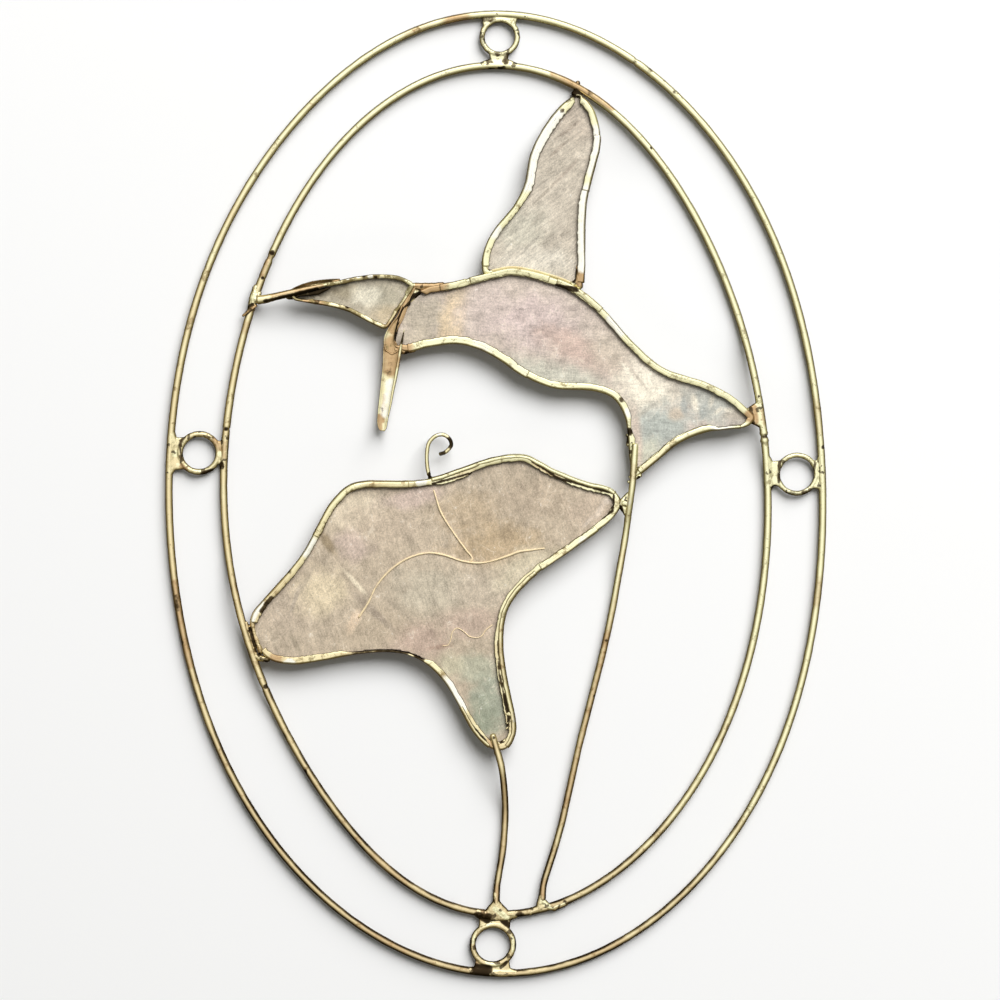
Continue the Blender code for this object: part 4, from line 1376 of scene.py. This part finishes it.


# name, the node it belongs to, its clumps of drops as x, z, y, radius, how lumpy it is, and its marks,
# whose stain is partly sooty and partly painted shade, and whose white is painted highlight
JOINTS = (
    (
        "wing_tip_joint", "raised_wing_edging",
        [
            ((18.9, 100.7, 0, 0.6), (19.9, 101.4, 0, 0.75), (20.6, 100.6, 0, 0.6)),
            ((19.7, 101.6, 0, 0.8), (20.0, 103.2, -0.2, 0.7)),
            ((19.6, 100.1, -0.4, 0.55), (20.8, 99.9, -0.2, 0.5)),
        ],
        0.12, dict(stain_and_shade=[(19.4, 101.0, 2.6, 1.0)], copper=[(20.0, 102.6, 2.0, 1.0)]),
    ),
    (
        "wing_left_joint", "raised_wing_edging",
        [
            ((-3.4, 58.4, -0.3, 0.75), (-3.0, 56.2, -0.3, 0.85)),
            ((-3.0, 56.2, -0.3, 0.8), (-1.6, 55.8, -0.3, 0.75)),
        ],
        0.05, dict(stain_and_shade=[(-1.8, 57.2, -2.0, 56.6, 0.6, 0.8), (-4.2, 56.6, 0.7, 0.6)]),
    ),
    (
        "wing_right_joint", "raised_wing_edging",
        [
            ((20.3, 57.2, -0.4, 0.85), (20.2, 54.0, -0.4, 1.0)),
            ((20.2, 54.0, -0.4, 1.0), (20.4, 52.6, -0.3, 1.0)),
            ((20.2, 54.0, -0.4, 0.9), (18.8, 53.0, -0.3, 0.8)),
        ],
        0.05,
        dict(
            stain_and_shade=[(19.4, 56.4, 19.0, 53.6, 0.7, 0.9), (21.3, 56.0, 21.4, 53.0, 0.6, 0.6)],
            copper=[(20.6, 57.6, 20.6, 53.4, 2.0, 1.0)],
        ),
    ),
    (
        "neck_joint", "body_edging",
        [
            ((-21.2, 52.6, -0.6, 0.75), (-18.4, 52.5, -0.5, 0.85), (-18.6, 51.8, -0.4, 0.7)),
            ((-18.4, 52.5, -0.5, 0.85), (-16.0, 52.5, -0.5, 0.85)),
            ((-16.0, 52.5, -0.5, 0.85), (-13.8, 52.8, -0.5, 0.75)),
            ((-21.4, 52.4, -0.6, 0.8), (-22.4, 50.8, -0.6, 0.8)),
            ((-21.6, 51.8, -0.1, 0.7), (-18.6, 51.9, -0.1, 0.7), (-21.8, 49.0, -0.1, 0.7)),
        ],
        0.05,
        dict(
            stain_and_shade=[(-21.8, 49.6, -17.6, 51.2, 0.9, 0.95)], copper=[(-20.6, 52.6, -13.8, 52.8, 1.8, 1.0)],
            white=[(-21.2, 52.9, 0.8, 0.7)],
        ),
    ),
    (
        "beak_joint", "body_edging",
        [
            ((-25.2, 36.6, -0.4, 0.85), (-23.4, 36.3, -0.4, 0.9)),
            ((-23.4, 36.3, -0.4, 0.9), (-21.0, 36.6, -0.4, 0.75)),
        ],
        0.12,
        dict(stain_and_shade=[(-22.6, 35.8, 0.9, 0.8), (-25.0, 37.4, 0.8, 0.8)], copper=[(-23.4, 36.4, 4.0, 1.0)]),
    ),
    (
        "spike_joint", "inner_hoop",
        [
            ((-60.3, 52.2, 0, 0.95), (-60.9, 49.6, -0.2, 1.3)),
            ((-60.9, 49.6, -0.2, 1.3), (-61.7, 46.7, 0, 0.95)),
            ((-60.6, 49.3, -0.3, 1.2), (-58.4, 48.9, -0.7, 0.95)),
            ((-58.4, 48.9, -0.7, 0.95), (-56.4, 49.4, -1.1, 0.65)),
            ((-60.4, 50.0, -0.3, 1.0), (-59.4, 50.8, -0.3, 0.5)),
            ((-63.5, 45.1, -0.7, 0.35), (-61.9, 46.4, -1.0, 0.5)),
            ((-61.9, 46.4, -1.0, 0.5), (-60.4, 47.5, -0.8, 0.45)),
        ],
        0.1,
        dict(
            stain_and_shade=[
                (-59.4, 47.6, -57.6, 48.2, 0.8, 1.0), (-61.2, 47.9, -62.4, 47.2, 0.6, 0.9),
                (-59.2, 50.0, 0.5, 0.8), (-62.6, 45.2, -61.0, 46.3, 0.5, 0.9),
            ],
            copper=[(-63.5, 45.4, -60.6, 47.4, 0.9, 1.0)], white=[(-60.8, 49.9, 1.2, 0.9)],
        ),
    ),
    (
        "wing_point_joint", "forward_wing_edging",
        [
            ((-51.9, 49.9, -0.6, 0.35), (-41.8, 52.1, -0.6, 0.25), (-45.0, 50.7, -0.5, 0.45)),
            ((-52.4, 49.6, -0.5, 0.5), (-50.4, 49.7, -0.5, 0.6)),
        ],
        0.1, dict(stain_and_shade=[(-51.4, 50.0, -42.4, 51.8, 1.8, 1.0)]),
    ),
    (
        "tail_joint", "inner_hoop",
        [
            ((62.8, 21.5, 0, 0.7), (63.2, 18.9, 0, 0.65), (65.4, 23.0, 0, 0.9), (66.2, 17.8, 0, 0.9)),
            ((65.4, 23.6, 0, 0.98), (66.3, 16.8, 0, 0.98)),
        ],
        0.05,
        dict(
            stain_and_shade=[(63.2, 21.8, 63.8, 18.4, 0.8, 0.7), (64.6, 17.4, 0.9, 0.6)],
            copper=[(63.8, 22.0, 64.2, 18.8, 1.6, 0.9)],
        ),
    ),
    (
        "flower_left_joint", "inner_hoop",
        [
            ((-62.9, -31.8, -0.1, 0.6), (-62.2, -35.0, 0.1, 0.55)),
            ((-62.2, -35.0, 0.1, 0.55), (-60.8, -39.2, 0.1, 0.75)),
            ((-61.4, -31.6, -0.2, 0.6), (-60.7, -34.6, 0.0, 0.6)),
            ((-60.7, -34.6, 0.0, 0.6), (-59.2, -38.8, -0.1, 0.75)),
            (
                (-62.4, -32.4, 0.3, 0.5), (-60.9, -32.6, 0.3, 0.5), (-61.2, -37.4, 0.3, 0.5),
                (-59.8, -37.6, 0.3, 0.5),
            ),
            ((-60.4, -40.2, 0, 0.95), (-57.6, -40.8, -0.3, 0.8)),
        ],
        0.14,
        dict(
            stain_and_shade=[
                (-61.9, -33.0, -60.7, -37.4, 0.6, 0.8), (-59.6, -39.6, 0.8, 0.8),
                (-58.0, -41.4, 0.9, 0.8), (-61.0, -30.9, 0.8, 0.8),
            ],
            copper=[(-62.2, -32.0, -60.6, -38.4, 2.4, 0.45)],
        ),
    ),
    (
        "flower_tip_joint", "flower_edging",
        [
            ((30.7, -1.9, -0.8, 0.9), (32.7, 0.4, -0.7, 0.75), (32.3, -4.6, -0.7, 0.75)),
            ((31.4, -1.8, -1.2, 0.8), (32.6, -1.8, -1.2, 1.0)),
        ],
        0.06,
        dict(
            stain_and_shade=[(31.0, -4.4, 30.6, -2.8, 0.8, 1.0), (31.4, 1.4, 30.6, 0.2, 0.8, 1.0)],
            white=[(31.9, 0.0, 31.8, -2.6, 0.9, 0.7)],
        ),
    ),
    (
        "crotch_joint", "tail_stem",
        [
            ((33.0, 4.8, -1.7, 0.45),), ((32.7, 3.6, -1.6, 0.45),),
            ((33.8, 4.4, -1.3, 0.5), (34.6, 4.6, -0.9, 0.5)),
            ((34.6, 4.6, -0.9, 0.5), (35.6, 5.2, -0.7, 0.5)),
        ],
        0.08, dict(stain_and_shade=[(33.0, 4.2, 0.6, 0.8), (35.2, 4.6, 0.7, 1.0), (34.0, 5.0, 0.5, 1.0)]),
    ),
    (
        "stem_top_joint", "tail_stem",
        [
            ((32.7, 13.0, -0.5, 0.65), (32.9, 14.8, -0.4, 0.6)),
            ((33.4, 13.2, -1.1, 0.5), (33.3, 10.8, -1.0, 0.55)), ((32.4, 15.2, -0.6, 0.45),),
        ],
        0.1, dict(stain_and_shade=[(32.9, 14.2, 1.6, 0.9), (33.0, 11.0, 0.9, 0.7)]),
    ),
    (
        "flower_stem_joint", "flower_stem",
        [
            ((-2.2, -61.4, -0.3, 0.6), (0.6, -62.0, -0.3, 0.7)),
            ((0.6, -62.0, -0.3, 0.7), (2.0, -61.0, -0.3, 0.6)),
            ((-0.5, -62.6, -1.0, 0.6), (-0.3, -64.2, -1.0, 0.65)),
        ],
        0.06, dict(stain_and_shade=[(-2.0, -61.4, 1.0, 0.8), (0.8, -61.2, 0.8, 0.8)]),
    ),
    (
        "flower_foot", "flower_stem",
        [
            ((-0.4, -99.4, -0.2, 0.85), (-0.3, -101.6, -0.2, 1.0)),
            ((-0.3, -101.6, -0.2, 1.0), (-3.2, -104.9, 0, 0.95), (2.8, -104.9, 0, 0.9)),
            ((-0.3, -102.4, -0.4, 0.95), (-1.4, -105.6, -0.3, 0.7), (2.6, -105.4, -0.2, 0.7)),
            ((-4.6, -104.4, 0, 0.9), (4.6, -104.4, 0, 0.9)),
        ],
        0.06,
        dict(
            stain_and_shade=[
                (-4.4, -104.9, -2.2, -104.9, 1.2, 0.8), (-2.6, -106.4, 2.2, -106.8, 0.9, 1.0),
                (3.6, -105.9, 0.9, 0.7),
            ],
            copper=[(-3.4, -104.6, 1.8, 1.0)], white=[(-0.6, -103.0, 2.6, -105.4, 1.0, 0.8)],
        ),
    ),
    (
        "tail_foot", "tail_stem",
        [
            ((11.2, -99.2, -0.2, 0.8), (10.6, -101.6, -0.2, 0.95)),
            ((10.6, -101.6, -0.2, 0.95), (10.4, -103.2, -0.1, 1.0)),
            ((10.8, -102.4, -0.1, 0.95), (14.2, -102.8, 0, 0.95)),
            ((10.8, -102.9, -0.1, 1.0), (8.2, -103.9, 0, 0.95)),
            ((11.3, -101.0, -0.2, 0.75), (12.6, -102.6, -0.1, 0.9)),
            ((14.2, -102.7, 0, 0.98), (16.8, -101.6, 0, 0.98)),
        ],
        0.05,
        dict(
            stain_and_shade=[(9.0, -104.6, 13.8, -104.1, 0.8, 1.0), (9.4, -101.6, 0.7, 0.5)],
            white=[(11.4, -101.2, 13.4, -102.4, 1.1, 0.9), (13.4, -102.4, 16.6, -101.4, 0.7, 0.9)],
        ),
    ),
    (
        "tendril_foot", "flower_tendril", [((-16.9, 4.7, 0, 0.6),), ((-16.7, 4.4, -0.3, 0.62),)], 0.1,
        dict(stain_and_shade=[(-16.8, 4.8, 1.1, 1.0)]),
    ),
)
for number, (name, node, clumps, lumps, marks) in enumerate(JOINTS):
    solder = melted(clumped(clumps), voxel=0.11, relief=lumps, seed=number * 3.0)
    finished(solder, name, SOLDER, node, None, marks, hollow_and_shade=True)

BURRS = [
    ((2.0, -54.4, -1.1, 0.22), (2.8, -54.0, -1.3, 0.22), (3.4, -54.8, -1.35, 0.2)),
    ((3.4, -54.8, -1.35, 0.2), (3.3, -55.9, -1.3, 0.2)),
    ((3.3, -55.9, -1.3, 0.2), (2.4, -56.7, -1.2, 0.24)),
    ((2.2, -58.0, -1.15, 0.26), (2.9, -57.4, -1.2, 0.22)),
]
finished(
    melted(clumped(BURRS), voxel=0.09, relief=0.03), "tube_burrs", SOLDER, "flower_edging", None,
    dict(stain_and_shade=[(2.6, -55.4, 0.7, 0.4)]),
)

# ---------------------------------------------------------------- cracks in the flower's plate

def skin(panel, places, out):
    """Places on a plate's front, stepped, out millimetres in front of it."""
    line = even(curved([at(x, z) for x, z in places]), 0.35)
    edge = distance_to(line, PANELS[panel][0])
    return [Vector((x, -THICK / 2 - skin_height(x, z, off, SEEDS[panel]) - out, z))
            for (x, _, z), off in zip(line, edge)]


CRACKS = (
    (
        "crack_left", 0.24,
        ((-16.0, 1.6), (-14.2, -4.0), (-11.0, -9.2), (-7.9, -13.5), (-6.4, -15.5), (-7.0, -16.4)),
    ),
    (
        "crack_middle", 0.26,
        (
            (-34.8, -30.4), (-32.3, -26.5), (-30.7, -23.1), (-28.4, -20.0), (-25.4, -17.3),
            (-21.7, -15.2), (-17.4, -14.2), (-13.5, -14.7), (-9.7, -16.0), (-7.4, -16.5), (-4.4, -16.7),
            (-1.4, -16.2), (2.3, -15.0), (5.3, -13.9), (8.1, -13.5), (11.8, -13.0),
        ),
    ),
    (
        "layer_edge", 0.13,
        (
            (-13.9, -37.4), (-12.4, -37.2), (-11.7, -35.6), (-11.3, -33.9), (-10.1, -33.0), (-8.4, -33.9),
            (-6.9, -35.1), (-4.4, -35.2), (-3.0, -33.5), (-1.3, -32.1),
        ),
    ),
)
TAN_VEIN = vein("crack_filling", (0.86, 0.70, 0.44))
for name, thick, places in CRACKS:
    line = skin("flower", places, 0.02)
    finished(wire(line, thick, sides=6, seed=2.0, uneven=0.35), name, TAN_VEIN, "flower_shell")

# ---------------------------------------------------------------- studio

TARGET = Vector((0.075, 0, -119.35)) * MM  # what the camera looks at
NEAR, FAR = 1.3, 3.6  # how far behind the drawing's plane the wall is, in millimetres
FINE = 0.95  # share of the wall's grid that lies close behind the piece
WALL_FINE, WALL_COARSE = 100, 1900  # half width of that share, and how far the rest runs on, in mm
FLOOR_SIZE, FLOOR_Z = 6.0, -0.262  # in metres
LENS, SENSOR = 100, 36
PICTURE = 0.250  # width of what the camera sees at its target, in metres


def staged(name, edit, look):
    """A part of the stage, from a bmesh in metres."""
    plane = placed(name, edit)
    plane.data.materials.append(look)
    return plane


def white(name, one_sided):
    """Plain white board. A one-sided one is lit as if it were flat, and can't be seen from behind."""
    board = Nodes(bpy.data.materials.new(name))
    plain = {"Color": (0.9, 0.9, 0.9)}
    if one_sided:
        plain["Normal"] = board.add("ShaderNodeCombineXYZ", sockets={"Y": -1.0})
    look = board.add("ShaderNodeBsdfDiffuse", sockets=plain)
    if one_sided:
        behind = board.add("ShaderNodeNewGeometry", out="Backfacing")
        clear = board.add("ShaderNodeBsdfTransparent")
        look = board.add("ShaderNodeMixShader", sockets={0: behind, 1: look, 2: clear})
    board.add("ShaderNodeOutputMaterial", sockets={0: look})
    return board.owner


def backdrop():
    """A wall just behind the wires. Behind the plates it stands further back, for broader shadows."""
    edit = bmesh.new()
    bmesh.ops.create_grid(edit, x_segments=120, y_segments=170, size=1)
    bmesh.ops.rotate(edit, cent=(0, 0, 0), matrix=Matrix.Rotation(math.pi / 2, 3, "X"), verts=edit.verts)
    grid = np.array([v.co for v in edit.verts])
    outer = np.sign(grid) * np.clip(np.abs(grid) - FINE, 0, 1) / (1 - FINE)
    reach = WALL_FINE * grid + WALL_COARSE * outer
    reach[:, 2] = reach[:, 2] * 1.35 + TARGET.z / MM
    gap = np.full(len(reach), 99.0)
    for panel, (inner, _) in PANELS.items():
        if panel == "raised_wing":
            inner = inner[inner[:, 2] < at(0, 80).z]
        off = distance_to(reach, inner)
        x, z = inner[:, 0], inner[:, 2]
        after_x, after_z = np.roll(x, -1), np.roll(z, -1)
        crossed = np.zeros(len(reach), int)
        for a, b, c, d in zip(x, z, after_x, after_z):
            if b != d:
                level = (reach[:, 2] > min(b, d)) & (reach[:, 2] <= max(b, d))
                crossed += level & (reach[:, 0] < a + (reach[:, 2] - b) * (c - a) / (d - b))
        gap = np.minimum(gap, np.where(crossed % 2 == 1, 0, off))
    ease = np.clip((gap - 2) / 15, 0, 1)
    reach[:, 1] = FAR + (NEAR - FAR) * ease * ease * (3 - 2 * ease)
    for vert, place in zip(edit.verts, reach):
        vert.co = place * MM
    return edit


wall = staged("wall", backdrop(), white("wall_white", True))
for ray in ("visible_diffuse", "visible_glossy", "visible_transmission", "visible_shadow"):
    setattr(wall, ray, False)
ground = bmesh.new()
bmesh.ops.create_grid(ground, x_segments=1, y_segments=1, size=FLOOR_SIZE / 2)
bmesh.ops.translate(ground, vec=(0, 0, FLOOR_Z), verts=ground.verts)
floor = staged("floor", ground, white("floor_white", False))
floor.visible_glossy = False
floor.visible_diffuse = False


def softbox(name, away, azimuth, elevation, wide, tall, radiance):
    """A soft light that faces the middle of the piece. Azimuth is from the front, towards +X."""
    turn, rise = math.radians(azimuth), math.radians(elevation)
    direction = Vector((math.sin(turn) * math.cos(rise), -math.cos(turn) * math.cos(rise), math.sin(rise)))
    data = bpy.data.lights.new(name, "AREA")
    data.shape, data.size, data.size_y = "RECTANGLE", wide, tall
    data.energy = radiance * math.pi * wide * tall
    lamp = bpy.data.objects.new(name, data)
    lamp.location = TARGET + direction * away
    lamp.rotation_euler = (-direction).to_track_quat("-Z", "Y").to_euler()
    bpy.context.scene.collection.objects.link(lamp)
    return lamp


# distance, azimuth, elevation, width, height, radiance
softbox("key", 2.6, 30, 42, 2.2, 2.2, 7.65).visible_glossy = False
softbox("over", 1.1, 10, 50, 1.2, 0.7, 0.8).visible_diffuse = False
softbox("back", 1.3, 160, 35, 1.0, 1.0, 0.7)


# What brass mirrors, from behind it to in front of it
SKY = ((0.36, (0.10, 0.08, 0.045)), (0.55, (0.25, 0.22, 0.14)), (0.72, (0.46, 0.43, 0.33)),
       (0.86, (0.86, 0.84, 0.76)), (0.96, (1.2, 1.18, 1.12)))


def studio_world():
    """Pale to the camera. Brass mirrors a bright front, brightest above, and a brown back."""
    world = bpy.data.worlds.new("studio")
    bpy.context.scene.world = world
    sky = Nodes(world)
    direction = sky.add("ShaderNodeTexCoord", out="Generated")
    brightest = Vector((0.05, -0.92, 0.38)).normalized()
    facing = sky.add("ShaderNodeVectorMath", {"operation": "DOT_PRODUCT"},
                     {0: direction, 1: brightest}, out="Value")
    seen = sky.add("ShaderNodeValToRGB", {"stops": SKY}, {0: facing * 0.5 + 0.5})
    for ray, colour in (("Is Diffuse Ray", (0.14, 0.14, 0.13)), ("Is Camera Ray", (0.86, 0.86, 0.85))):
        seen = sky.mix(sky.add("ShaderNodeLightPath", out=ray), seen, colour)
    shown = sky.add("ShaderNodeBackground", sockets={"Color": seen})
    sky.add("ShaderNodeOutputWorld", sockets={0: shown})


studio_world()
bpy.context.scene.view_settings.view_transform = "Standard"

lens = bpy.data.cameras.new("camera")
lens.lens, lens.sensor_width = LENS, SENSOR
camera = bpy.data.objects.new("camera", lens)
camera.location = TARGET + Vector((0, -PICTURE * LENS / SENSOR, 0))
camera.rotation_euler = (math.pi / 2, 0, 0)
bpy.context.scene.collection.objects.link(camera)
bpy.context.scene.camera = camera

bpy.context.view_layer.update()
